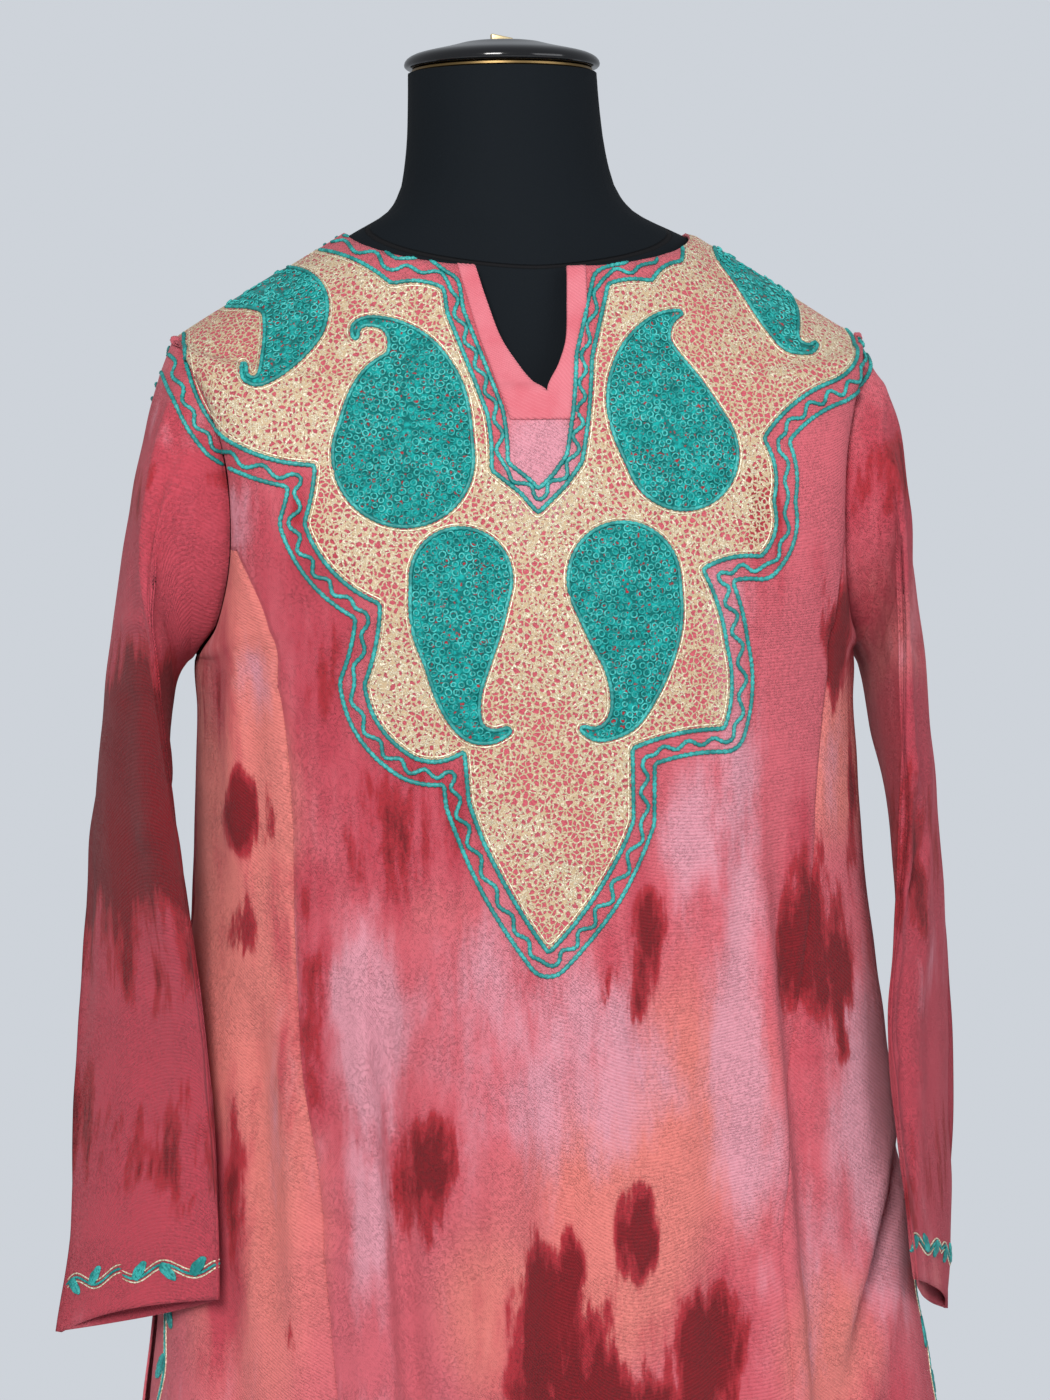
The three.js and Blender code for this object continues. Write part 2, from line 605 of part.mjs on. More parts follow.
function makeCap() {
  const plate = turned([{ r: plateRadius, z: 0 }, { r: plateRadius, z: plateHeight }]);
  addPiece('cap_ring', plate, brassFinish, neckLean, 0, neckTop + seamGap);
  const cap = turned(capProfile.map((p) => ({ r: p.r, z: p.up })));
  addPiece('neck_cap', cap, capFinish, neckLean, 0, capBottom);
  const outline = new THREE.Shape([
    new THREE.Vector2(-knob.length / 2, 0), new THREE.Vector2(knob.length / 2, 0),
    new THREE.Vector2(knob.length / 2, knob.tip), new THREE.Vector2(knob.flat - knob.length / 2, knob.height),
    new THREE.Vector2(-knob.length / 2, knob.height),
  ]);
  const tab = new THREE.ExtrudeGeometry(outline, { depth: knob.depth, bevelEnabled: false });
  tab.translate(0, 0, -knob.depth / 2);
  tab.rotateX(Math.PI / 2);
  addPiece('cap_knob', tab, brassFinish, neckLean, 0, capBottom + capHeight + seamGap);
}

function makeStand() {
  addPiece('base', turned(baseProfile), standFinish);
  const poleBottom = baseProfile[baseProfile.length - 1].z + seamGap;
  const poleTop = formSections[0].z - seamGap;
  const pole = turned([{ r: poleRadius, z: poleBottom }, { r: poleRadius, z: poleTop }]);
  addPiece('pole', pole, standFinish);
}

makePanel('front');
makePanel('back');
for (const face of ['front', 'back']) {
  for (const side of [-1, 1]) makeGore(face, side);
}
makeFacing();
makeSleeve('sleeve_left', leftSleeve, -1);
makeSleeve('sleeve_right', rightSleeve, 1);
makeForm();
makeCap();
makeStand();

export default group;
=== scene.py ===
import math

import bpy
import numpy as np
from mathutils import Matrix, Vector
from mathutils.bvhtree import BVHTree
from mathutils.kdtree import KDTree


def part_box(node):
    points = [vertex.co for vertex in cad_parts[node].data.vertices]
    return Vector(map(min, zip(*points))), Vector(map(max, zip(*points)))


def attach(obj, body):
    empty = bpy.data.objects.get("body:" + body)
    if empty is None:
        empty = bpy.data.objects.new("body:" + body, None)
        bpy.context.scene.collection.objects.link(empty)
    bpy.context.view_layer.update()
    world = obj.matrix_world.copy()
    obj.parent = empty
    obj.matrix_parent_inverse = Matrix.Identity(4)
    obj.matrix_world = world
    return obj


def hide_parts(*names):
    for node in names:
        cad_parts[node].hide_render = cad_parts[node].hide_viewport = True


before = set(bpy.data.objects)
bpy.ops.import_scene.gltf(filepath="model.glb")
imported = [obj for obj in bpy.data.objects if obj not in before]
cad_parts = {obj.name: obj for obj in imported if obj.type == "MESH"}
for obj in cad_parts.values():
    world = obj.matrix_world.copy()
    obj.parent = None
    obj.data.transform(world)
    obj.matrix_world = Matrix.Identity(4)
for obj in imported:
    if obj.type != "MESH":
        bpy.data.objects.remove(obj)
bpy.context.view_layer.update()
mm = 0.001
print("frame loaded")

# The cloth's sizes are in millimetres, as a pattern cutter has them, and turn to metres in the meshes.
# The body's rows run from the neck (0) along the shoulder seam (4), down the armhole (14) and down the side (31).
garment = {
    "wall": 1.3,  # thickness of the cloth
    "seamPull": 1.5,  # how deep the cloth dips at a seam
    "seamReach": 2.8,  # how far from the seam the dip starts
    "sectionPower": 2.3,
    "slopePower": 1.3,
    "armholeMiddle": 1195, "armholeHalfHeight": 93, "armholeHalfDepth": 72, "armholeSteps": 10,
    "shoulderSteps": 4, "goreTopRow": 10, "sideSteps": 17, "hemHeight": 300, "hemRow": 31, "underarmRow": 14,
    "neckX": 103, "neckZ": 1350, "shoulderX": 205, "shoulderZ": 1288,
    "slitTop": 760, "slitGapAtHem": 9, "backFlareAtHem": 12,
    "easeRows": 1.4, "foldGrowth": 260, "foldFade": 3, "driftPerMetre": 12.5,
    "tipReach": 12, "tipKeep": 0.12,  # near the shoulder's tip the wall keeps only this share of its thickness
    "sectionStep": 50,  # about how far apart the sleeve's sections lie
}
weld = 50  # points closer than a fiftieth of a millimetre are one
bodyWidths = {
    "z": [300, 500, 650, 705, 760, 815, 890, 960, 1030, 1070, 1102, 1120, 1140, 1166, 1195, 1224, 1250, 1270, 1288],
    "half": [268, 254, 240, 232, 227, 221, 212, 203, 199, 197, 197, 188, 183, 180, 180, 183, 190, 198, 205],
}
bodyDepths = {
    "z": [300, 500, 700, 800, 900, 1000, 1100, 1150, 1200, 1255, 1290, 1326, 1340],
    "front": [152, 145, 136, 131, 126, 124, 126, 122, 113, 100, 88, 75, 72],
    "back": [140, 130, 118, 112, 104, 98, 99, 101, 101, 97, 88, 78, 71],
}
centreHeights = {
    "row": [0, 1, 2, 3, 4, 5, 6, 7, 8, 9, 10, 11, 12, 13, 14],
    "front": [1326, 1306, 1285, 1270, 1260, 1254, 1238, 1219, 1199, 1178, 1157, 1138, 1122, 1109, 1097],
    "back": [1338, 1326, 1314, 1301, 1288, 1276, 1260, 1241, 1219, 1195, 1170, 1147, 1128, 1112, 1098],
}
slitEdges = {
    "row": [0, 1, 2, 3, 4, 5],
    "left": [36, 31, 24.5, 16, 8.5, 0],
    "right": [17, 15.5, 13.5, 8, 2, 0],
}
goreSeams = {
    "z": [300, 500, 654, 762, 808, 867, 955, 1012, 1075, 1129, 1166],
    "left": [144, 139, 136, 141, 143, 150, 151, 151, 154, 164, 178],
    "right": [136, 129, 124, 119, 126, 137, 151, 157, 164, 173, 178],
    "back": [140, 134, 130, 130, 134, 143, 151, 154, 159, 169, 178],
}
bodyFolds = {  # hanging folds: start height, start and end across, half width and height, a trough is negative
    "front": [
        (1010, -126, -108, 11, 5.5), (1000, -108, -88, 13, -4.5), (960, 105, 124, 17, 8), (930, 82, 94, 16, -5),
        (1010, -42, -50, 20, 5), (960, -10, -14, 17, -4.5), (980, 24, 36, 20, 5.5),
        (880, -192, -196, 12, -8), (800, 196, 176, 14, -7),
    ],
    "back": [
        (1060, -104, -118, 18, 7), (1000, -60, -68, 20, -5), (1080, -8, 6, 22, 6), (1010, 52, 66, 20, -5.5),
        (1050, 98, 114, 18, 7), (860, -190, -194, 14, -7), (840, 188, 192, 14, -7),
    ],
}
sleeveColumns = ["outX", "outZ", "inX", "inZ", "frontX", "frontY", "frontZ", "backX", "backY", "backZ", "crease"]
leftSleeve = [
    (213, 1268, 202, 1098, 201, -75, 1200, 199, 75, 1200, 0),
    (222, 1240, 206, 1092, 216, -79, 1192, 213, 78, 1190, 0.2),
    (231, 1200, 209, 1084, 224, -81, 1172, 222, 81, 1165, 0.5),
    (238, 1160, 211, 1072, 227, -82, 1142, 229, 83, 1130, 0.8),
    (245, 1118, 213, 1056, 226, -81, 1108, 236, 82, 1092, 1),
    (251, 1075, 216, 1036, 223, -80, 1070, 244, 78, 1052, 1),
    (253, 1014, 223, 1006, 217, -78, 1016, 257, 68, 1004, 1),
    (249, 955, 226, 955, 210, -76, 955, 263, 57, 955, 1),
    (247, 880, 226, 880, 203, -80, 880, 271, 42, 880, 1),
    (248, 818, 228, 818, 200, -84, 824, 277, 28, 812, 1),
    (250, 768, 231, 768, 200, -87, 779, 281, 10, 757, 1),
    (255, 723, 238, 719, 201, -88, 737, 291, -6, 702, 1),
]
rightSleeve = [
    (212, 1268, 202, 1098, 199, -74, 1202, 199, 74, 1200, 0),
    (220, 1240, 206, 1092, 208, -77, 1195, 211, 77, 1190, 0.2),
    (228, 1200, 209, 1084, 211, -78, 1172, 219, 79, 1165, 0.5),
    (235, 1160, 211, 1072, 212, -78, 1142, 226, 80, 1130, 0.8),
    (242, 1118, 212, 1056, 213, -76, 1108, 233, 78, 1092, 1),
    (247, 1075, 214, 1036, 213, -74, 1070, 240, 74, 1052, 1),
    (252, 1010, 219, 1006, 213, -73, 1012, 257, 62, 1004, 1),
    (250, 942, 226, 942, 207, -77, 944, 268, 48, 940, 1),
    (245, 880, 225, 880, 199, -84, 884, 269, 36, 877, 1),
    (241, 822, 224, 822, 200, -92, 832, 265, 22, 814, 1),
    (238, 766, 225, 766, 203, -101, 781, 259, 5, 752, 1),
    (236, 714, 223, 711, 206, -108, 734, 252, -8, 690, 1),
]


def smoothStep(t):
    s = np.clip(t, 0, 1)
    return s * s * (3 - 2 * s)


def readTable(table, key, name, at):
    # a smooth curve through a named column, read at many places at once
    x, v = np.array(table[key], float), np.array(table[name], float)
    at = np.asarray(at, float)
    i = np.clip(np.searchsorted(x, at, side="right") - 1, 0, len(x) - 2)
    span = x[i + 1] - x[i]
    t = np.clip((at - x[i]) / span, 0, 1)
    before, after = np.maximum(np.arange(len(x)) - 1, 0), np.minimum(np.arange(len(x)) + 1, len(x) - 1)
    slope = (v[after] - v[before]) / (x[after] - x[before])
    return (
        v[i] * (1 - t) ** 2 * (1 + 2 * t) + v[i + 1] * t * t * (3 - 2 * t)
        + slope[i] * span * t * (1 - t) ** 2 - slope[i + 1] * span * t * t * (1 - t)
    )


def rowEdge(row):
    # the panel's edge: along the shoulder seam, down the armhole, down the side seam
    g = garment
    row = np.asarray(row, float)
    shoulder = np.clip(row / g["shoulderSteps"], 0, 1)
    turn = math.pi * np.clip((row - g["shoulderSteps"]) / g["armholeSteps"], 0, 1)
    side = np.clip((row - g["underarmRow"]) / g["sideSteps"], 0, 1)
    underarm = g["armholeMiddle"] - g["armholeHalfHeight"]
    z = np.where(
        row < g["shoulderSteps"], g["neckZ"] + (g["shoulderZ"] - g["neckZ"]) * shoulder,
        np.where(row < g["underarmRow"], g["armholeMiddle"] + g["armholeHalfHeight"] * np.cos(turn),
                 underarm + (g["hemHeight"] - underarm) * side))
    x = np.where(row < g["shoulderSteps"], g["neckX"] + (g["shoulderX"] - g["neckX"]) * shoulder,
                 readTable(bodyWidths, "z", "half", z))
    y = np.where((row > g["shoulderSteps"]) & (row < g["underarmRow"]), g["armholeHalfDepth"] * np.sin(turn), 0)
    return x, y, z


def driftAt(z):
    return np.maximum(0, garment["shoulderZ"] - z) / 1000 * garment["driftPerMetre"]


def foldHeight(face, x, z):
    height = np.zeros_like(z)
    for topZ, topX, endX, width, depth in bodyFolds[face]:
        down = (topZ - z) / (topZ - garment["hemHeight"])
        middle = topX + (endX - topX) * down
        grown = smoothStep((topZ - z) / garment["foldGrowth"])
        height += depth * grown * np.exp(-(((x - middle) / width) ** 2))
    return height


def bodyPoint(face, row, share):
    # the body's surface; the hollow below the underarm is eased, away from the edge
    row = np.asarray(row, float)
    under = garment["underarmRow"]
    reach = garment["easeRows"] * smoothStep((1 - np.abs(share)) / 0.12)
    reach = reach * smoothStep((row - under + 3) / 2) * smoothStep((under + 5 - row) / 2)
    steps, weights = (-1, -0.5, 0, 0.5, 1), (1, 2, 3, 2, 1)
    total = sum(rawPoint(face, row + reach * step, share) * weight for step, weight in zip(steps, weights))
    return total / sum(weights)


def rawPoint(face, row, share):
    g = garment
    edgeX, edgeY, edgeZ = rowEdge(row)
    under = g["underarmRow"]
    height = readTable(centreHeights, "row", face, np.minimum(row, under))
    hang = centreHeights[face][-1] - g["armholeMiddle"] + g["armholeHalfHeight"]
    height = np.where(row <= under, height, edgeZ + hang * np.clip(under + 1 - row, 0, 1))
    deep = readTable(bodyDepths, "z", face, height)
    inward = np.maximum(0, 1 - np.abs(share) ** g["sectionPower"]) ** (1 / g["sectionPower"])
    x = edgeX * share
    y = edgeY + (deep - edgeY) * inward
    z = edgeZ + (height - edgeZ) * inward ** g["slopePower"]
    fold = foldHeight(face, x, z) * smoothStep(inward * g["foldFade"])
    length = np.hypot(x / edgeX, y / deep)
    x, y = x + fold * x / edgeX / length + driftAt(z), y + fold * y / deep / length
    return np.stack([x, -y if face == "front" else y, z], axis=-1)


def shareOf(turn):
    return np.sin(np.clip(turn, 0, 1) * math.pi / 2) ** (2 / garment["sectionPower"])


def turnOf(share):
    return np.arcsin(np.clip(share, 0, 1) ** (garment["sectionPower"] / 2)) * 2 / math.pi


def goreShare(face, side, row):
    edgeX, _, edgeZ = rowEdge(np.maximum(row, garment["goreTopRow"]))
    name = "back" if face == "back" else "left" if side < 0 else "right"
    return readTable(goreSeams, "z", name, edgeZ) / edgeX


def slitShare(face, side, row):
    if face == "back":
        return np.zeros_like(row)
    foot = slitEdges["row"][-1]
    edge = readTable(slitEdges, "row", "left" if side < 0 else "right", np.minimum(row, foot))
    return np.where(row < foot, np.maximum(edge, 0), 0) / rowEdge(row)[0]


# Rows and columns of the fine cloth, closer together where the surface bends or a seam dips
fineRows = np.concatenate([np.arange(0, 4, 1 / 6), np.arange(4, 14, 1 / 8), np.linspace(14, 31, 17 * 14 + 1)])
nearSeam = np.array([0.955, 0.966, 0.976, 0.985, 0.992, 0.997, 1])
frontReaches = np.concatenate([np.linspace(0, 0.945, 49), nearSeam])
backReaches = np.concatenate([np.linspace(0, 0.94, 36), nearSeam])
goreReaches = np.concatenate([1 + (1 - nearSeam[::-1]) * 3, np.linspace(1.2, 1.85, 20), 2 - (1 - nearSeam) * 3])


def bodySheet(face, side, rows, reaches):
    # reach runs from 0 at the slit or the centre line to 1 at the gore's seam and 2 at the side seam
    g = garment
    row, reach = np.meshgrid(rows, reaches, indexing="ij")
    start, seam = turnOf(slitShare(face, side, row)), turnOf(goreShare(face, side, row))
    turn = np.where(reach <= 1, start + (seam - start) * reach, seam + (1 - seam) * (reach - 1))
    point = bodyPoint(face, row, side * shareOf(turn))
    down = np.clip((g["slitTop"] - rowEdge(row)[2]) / (g["slitTop"] - g["hemHeight"]), 0, 1)
    spread = down * np.clip(reach - 1, 0, 1) ** 2
    if face == "front":
        point[..., 1] -= g["slitGapAtHem"] / 2 * spread
    else:
        point[..., 1] += g["slitGapAtHem"] / 2 * spread
        point[..., 0] += side * g["backFlareAtHem"] * spread
    return point


def sleevePoint(table, side, along, turn):
    # along is 0 at the armhole, 1 at the table's first section and grows by 1 a section
    at = {name: [row[i] for row in table] for i, name in enumerate(sleeveColumns)}
    at["at"] = list(range(1, len(table) + 1))
    c = {name: readTable(at, "at", name, np.maximum(along, 1)) for name in sleeveColumns}
    front = np.stack([side * c["frontX"], c["frontY"], c["frontZ"]], axis=-1)
    back = np.stack([side * c["backX"], c["backY"], c["backZ"]], axis=-1)
    middle, forward = (front + back) / 2, (front - back) / 2
    outward = np.stack([side * c["outX"], middle[..., 1], c["outZ"]], axis=-1) - middle
    inward = np.stack([side * c["inX"], middle[..., 1], c["inZ"]], axis=-1) - middle
    bulge = np.abs(np.cos(turn)) ** (1 + c["crease"])
    lean = np.where((np.cos(turn) > 0)[..., None], outward, inward)
    ring = middle + forward * np.sin(turn)[..., None] + lean * bulge[..., None]
    ring[..., 0] += driftAt(ring[..., 2])
    top, steps, under = (garment[name] for name in ("shoulderSteps", "armholeSteps", "underarmRow"))
    half = turn / math.pi * steps
    row = top + np.where(half <= steps, half, 2 * steps - half)
    edgeX, edgeY, edgeZ = rowEdge(np.clip(row, top, under))
    hole = np.stack([side * edgeX + driftAt(edgeZ), np.where(half <= steps, -edgeY, edgeY), edgeZ], axis=-1)
    return hole + (ring - hole) * np.clip(along, 0, 1)[..., None]


# Seams that draw the cloth in, as lines of points
slitTopRow = 21.4


def seamLines():
    g = garment
    armhole = np.linspace(g["shoulderSteps"], g["underarmRow"], 90)
    shoulder = np.linspace(0, g["shoulderSteps"], 50)
    gore = np.linspace(g["goreTopRow"], g["hemRow"], 420)
    sideSeam = np.linspace(g["underarmRow"], slitTopRow, 160)
    lines = []
    for side in (-1, 1):
        down = [("front", armhole, 2.0), ("front", gore, 1.0), ("back", armhole, 2.0), ("back", gore, 1.0)]
        for face, rows, reach in down + [("front", sideSeam, 2.0), ("back", shoulder, 2.0)]:
            lines.append(bodySheet(face, side, rows, np.array([reach]))[:, 0])
        lines.append(bodySheet("front", side, np.array([0.0]), np.linspace(0, 2, 90))[0])
    return np.concatenate(lines)


seamPoints = seamLines()
seamTree = KDTree(len(seamPoints))
for i, point in enumerate(seamPoints):
    seamTree.insert(point, i)
seamTree.balance()


def seamDip(points):
    far = np.array([seamTree.find(p)[2] for p in points])
    return -garment["seamPull"] * np.exp(-((far / garment["seamReach"]) ** 2) * 2)


def softWaves(points, length, seed):
    # a smooth uneven height between -1 and 1, the sum of a few seeded waves
    chance = np.random.default_rng(seed)
    total = np.zeros(len(points))
    for _ in range(9):
        way = chance.normal(size=3)
        way /= np.linalg.norm(way)
        total += np.sin(points @ (way * 2 * math.pi / (length * chance.uniform(0.7, 1.5))) + chance.uniform(0, 6.3))
    return total / 4


def ridge(x, z, crease):
    # height of one crease: a line from top to bottom that fades out at both ends
    topX, topZ, endX, endZ, width, height = crease
    wayX, wayZ = endX - topX, endZ - topZ
    length = math.hypot(wayX, wayZ)
    along = ((x - topX) * wayX + (z - topZ) * wayZ) / length**2
    off = ((x - topX) * wayZ - (z - topZ) * wayX) / length
    fade = smoothStep((along + 0.15) / 0.35) * smoothStep((1.15 - along) / 0.35)
    return height * fade * np.exp(-((off / width) ** 2))


# Creases pressed or pulled into the cloth: top x, z, bottom x, z, half width, height, a furrow is negative
creases = {
    "front": [
        (-113, 930, -92, 560, 7, 6.0), (-101, 925, -79, 560, 8, -4.4), (120, 980, 148, 560, 8, 6.2),
        (134, 970, 163, 560, 9, -5.6), (-62, 1040, -70, 860, 10, 3.2), (-44, 1030, -48, 860, 9, -2.2),
        (38, 1040, 30, 860, 10, 2.8), (60, 1030, 56, 880, 9, -2.0), (104, 1060, 92, 900, 9, 3.2),
        (-176, 1130, -178, 985, 6, 3.6), (-168, 1110, -166, 960, 5, -2.4), (-171, 900, -163, 720, 8, -7.0),
        (-154, 890, -148, 660, 7, 4.4), (-190, 760, -184, 560, 8, -4.0), (226, 800, 184, 706, 7, -6.5),
        (188, 716, 158, 610, 8, -6.0), (206, 800, 166, 690, 7, 3.8), (214, 740, 184, 640, 8, 3.4),
        (148, 870, 184, 866, 3, 1.8), (-152, 770, -106, 762, 3, 2.0),
        (-148, 790, -112, 780, 4, -1.6), (-30, 880, -38, 560, 16, 3.4), (-4, 860, -6, 600, 14, -2.2),
        (68, 860, 80, 520, 15, 3.2), (-10, 640, -4, 330, 18, 3.0), (-130, 600, -122, 330, 15, 3.2),
        (120, 600, 130, 330, 15, 3.2), (-20, 1000, 24, 985, 5, 1.4), (-64, 1150, -30, 1120, 5, 1.0),
    ],
    "back": [
        (-60, 1180, -70, 1010, 12, 1.8), (40, 1190, 52, 1000, 12, 1.6), (-20, 1000, -26, 700, 16, 2.2),
        (90, 980, 98, 640, 14, 2.4), (-120, 900, -126, 560, 14, 2.2), (20, 700, 28, 330, 16, 2.4),
        (-70, 660, -66, 330, 15, 2.2), (-130, 1150, -90, 1085, 9, 1.6), (130, 1150, 92, 1088, 9, 1.6),
    ],
}


looseFrom = 1120  # below this height the cloth hangs free of the form


def bodyBends(face):
    def bends(points):
        x, z = points[:, 0], points[:, 2]
        height = sum(ridge(x, z, crease) for crease in creases[face])
        loose = smoothStep((looseFrom - z) / garment["foldGrowth"])
        height = height + softWaves(points, 130, 3 if face == "front" else 4) * 1.1 * loose
        return height + softWaves(points, 46, 5) * (0.25 + 0.3 * loose) + seamDip(points)
    return bends


def linked(name, data):
    obj = bpy.data.objects.new(name, data)
    bpy.context.collection.objects.link(obj)
    return obj


def meshObject(name, points, faces):
    # points in millimetres; every face is shaded smooth
    mesh = bpy.data.meshes.new(name)
    mesh.from_pydata((points * mm).tolist(), [], faces.tolist())
    mesh.polygons.foreach_set("use_smooth", np.ones(len(faces), bool))
    return linked(name, mesh)


clothFaces = []  # the outer faces, so that the embroidery can find the cloth


def clothWall(name, grids, bends, raised, marks):
    # grids: points, which cells are cloth, uv and whether the winding turns; the wall runs between two faces
    places, cells, uvs, count = [], [], [], 0
    for grid, shown, uv, flipped in grids:
        rows, columns = grid.shape[:2]
        index = np.arange(rows * columns).reshape(rows, columns) + count
        quad = np.stack([index[:-1, :-1], index[1:, :-1], index[1:, 1:], index[:-1, 1:]], axis=-1)[shown]
        cells.append(quad[:, ::-1] if flipped else quad)
        places.append(grid.reshape(-1, 3))
        uvs.append(uv.reshape(-1, 2))
        count += rows * columns
    places, corners, uvs = np.concatenate(places), np.concatenate(cells), np.concatenate(uvs)
    cell = np.round(places * weld).astype(np.int64)
    _, first, welded = np.unique(cell, axis=0, return_index=True, return_inverse=True)
    live, quads = np.unique(welded.ravel()[corners], return_inverse=True)
    quads, place = quads.reshape(-1, 4), places[first][live]
    a, b, c, d = (place[quads[:, k]] for k in range(4))
    out = np.zeros_like(place)
    np.add.at(out, quads.ravel(), np.repeat(np.cross(c - a, d - b), 4, axis=0))
    out /= np.linalg.norm(out, axis=1)[:, None]
    height = bends(place)
    g = garment
    tip = np.array([g["shoulderX"], 0, g["shoulderZ"]])
    far = np.linalg.norm(place * [0, 1, 1] + np.abs(place) * [1, 0, 0] - tip, axis=1)
    keep = g["tipKeep"] + (1 - g["tipKeep"]) * smoothStep(far / g["tipReach"])
    outer = place + out * ((height + raised(place)) * keep)[:, None]
    inner = place + out * ((height - g["wall"]) * keep)[:, None]
    edges = np.stack([quads, np.roll(quads, -1, axis=1)], axis=-1).reshape(-1, 2)
    key = np.sort(edges, axis=1) @ np.array([len(place), 1])
    _, at, times = np.unique(key, return_index=True, return_counts=True)
    rim = edges[at[times == 1]]
    n = len(place)
    rimQuads = np.stack([rim[:, 1], rim[:, 0], rim[:, 0] + n, rim[:, 1] + n], axis=-1)
    obj = meshObject(name, np.concatenate([outer, inner]), np.concatenate([quads, quads[:, ::-1] + n, rimQuads]))
    loopUv = np.concatenate([uvs[corners], uvs[corners][:, ::-1], np.zeros((len(rim), 4, 2))])
    obj.data.uv_layers.new(name="weave").data.foreach_set("uv", loopUv.ravel() * mm)
    for key, (values, under) in marks(place).items():
        both = np.concatenate([values, values if under is None else np.full(n, under)])
        obj.data.attributes.new(key, "FLOAT", "POINT").data.foreach_set("value", both)
    clothFaces.append((outer, quads))
    return obj


def lengthsAlong(grid, side):
    # how far each point lies across and down the cloth, for the weave
    across = np.linalg.norm(np.diff(grid, axis=1), axis=2)
    down = np.linalg.norm(np.diff(grid, axis=0), axis=2)
    u = np.concatenate([np.zeros((len(grid), 1)), np.cumsum(across, axis=1)], axis=1) * side
    v = -np.concatenate([np.zeros((1, grid.shape[1])), np.cumsum(down, axis=0)], axis=0)
    return np.stack([u, v], axis=-1)


def bodyGrid(face, side, rows, reaches, shownWhere):
    grid = bodySheet(face, side, rows, reaches)
    row, reach = np.meshgrid((rows[1:] + rows[:-1]) / 2, (reaches[1:] + reaches[:-1]) / 2, indexing="ij")
    return grid, shownWhere(row, reach), lengthsAlong(grid, side), (face == "front") != (side > 0)


def makePanel(face, reaches):
    top = garment["goreTopRow"]
    whole = np.concatenate([reaches, goreReaches[1:]])

    def shown(row, reach):
        return (reach < 1) | (row < top)

    grids = [bodyGrid(face, side, fineRows, whole, shown) for side in (-1, 1)]
    return clothWall(f"{face}Panel", grids, bodyBends(face), raisedWork(face), clothMarks(face))


def makeGore(face, side):
    rows = fineRows[fineRows >= garment["goreTopRow"] - 1e-6]
    grids = [bodyGrid(face, side, rows, goreReaches, lambda row, reach: row > 0)]
    name = f"{face}Gore{'Left' if side < 0 else 'Right'}"
    return clothWall(name, grids, bodyBends(face), nothingRaised, clothMarks(face, goreBlots))


def nothingRaised(points):
    return np.zeros(len(points))


# Creases of the sleeves: along at the top, turn in degrees there, along and turn at the end, half width, height
sleeveCreases = {
    "Left": [
        (0.2, 42, 4.5, 74, 5, 4.4), (0.6, 60, 4.2, 88, 6, -3.4), (4.6, 64, 4.9, 20, 4, 2.6),
        (5.7, 74, 6.0, 25, 4, -2.4), (7.0, 76, 7.3, 30, 4, 2.2), (8.3, 74, 8.6, 20, 4, -2.4),
        (9.6, 78, 10.0, 28, 4, 2.2), (3.4, 140, 4.6, 118, 6, 2.4), (10.4, 70, 10.6, 30, 4, -1.8),
        (5.5, 120, 6.6, 150, 6, 2.0), (2.0, 290, 5.0, 300, 8, 2.4), (6.0, 320, 9.0, 305, 8, -2.2),
        (5.0, 45, 8.5, 50, 9, 2.2), (6.5, 18, 10.0, 26, 9, -1.8),
    ],
    "Right": [
        (0.3, 38, 4.0, 40, 6, 3.8), (1.4, 76, 9.2, 60, 6, 3.4), (2.6, 84, 9.0, 70, 6, -3.0),
        (5.0, 60, 5.6, 30, 4, -2.2), (6.6, 66, 7.2, 38, 4, 2.6), (8.0, 64, 8.5, 34, 4, -2.2),
        (9.4, 66, 9.7, 28, 4, 2.0), (3.6, 132, 5.0, 120, 6, 2.2), (2.0, 290, 5.0, 300, 8, 2.4),
        (6.2, 318, 9.4, 302, 8, -2.2), (6.5, 30, 10.5, 38, 8, 3.0), (8.0, 58, 11.0, 52, 4, -3.4),
        (7.4, 36, 7.9, 60, 3, -3.0),
    ],
}
sectionsOfSleeve = len(leftSleeve)


def makeSleeve(hand):
    side, table = (-1, leftSleeve) if hand == "Left" else (1, rightSleeve)
    along = np.concatenate([
        np.linspace(0, 0.08, 5), np.linspace(0.08, 1, 14)[1:], np.linspace(1, sectionsOfSleeve, 154)[1:]])
    turn = np.linspace(0, 2 * math.pi, 97)
    alongGrid, turnGrid = np.meshgrid(along, turn, indexing="ij")
    grid = sleevePoint(table, side, alongGrid, turnGrid)
    cells = np.round(grid.reshape(-1, 3) * weld).astype(int).tolist()
    spots = {tuple(p): (s, math.degrees(t)) for p, s, t in zip(cells, alongGrid.ravel(), turnGrid.ravel())}
    step = garment["sectionStep"]

    def bends(points):
        where = np.array([spots[tuple(p)] for p in np.round(points * weld).astype(int).tolist()])
        height = softWaves(points, 120, 7 + side) * 1.3 * smoothStep(where[:, 0] / 2)
        for start, startTurn, end, endTurn, width, depth in sleeveCreases[hand]:
            crease = [start * step, startTurn, end * step, endTurn, width * 1.6, depth]
            height += ridge(where[:, 0] * step, where[:, 1], crease)
        return height + softWaves(points, 40, 9) * 0.35 + seamDip(points)

    shown = np.ones((len(along) - 1, len(turn) - 1), bool)
    grids = [(grid, shown, lengthsAlong(grid, side), side > 0)]
    return clothWall(f"sleeve{hand}", grids, bends, nothingRaised, sleeveMarks(hand))


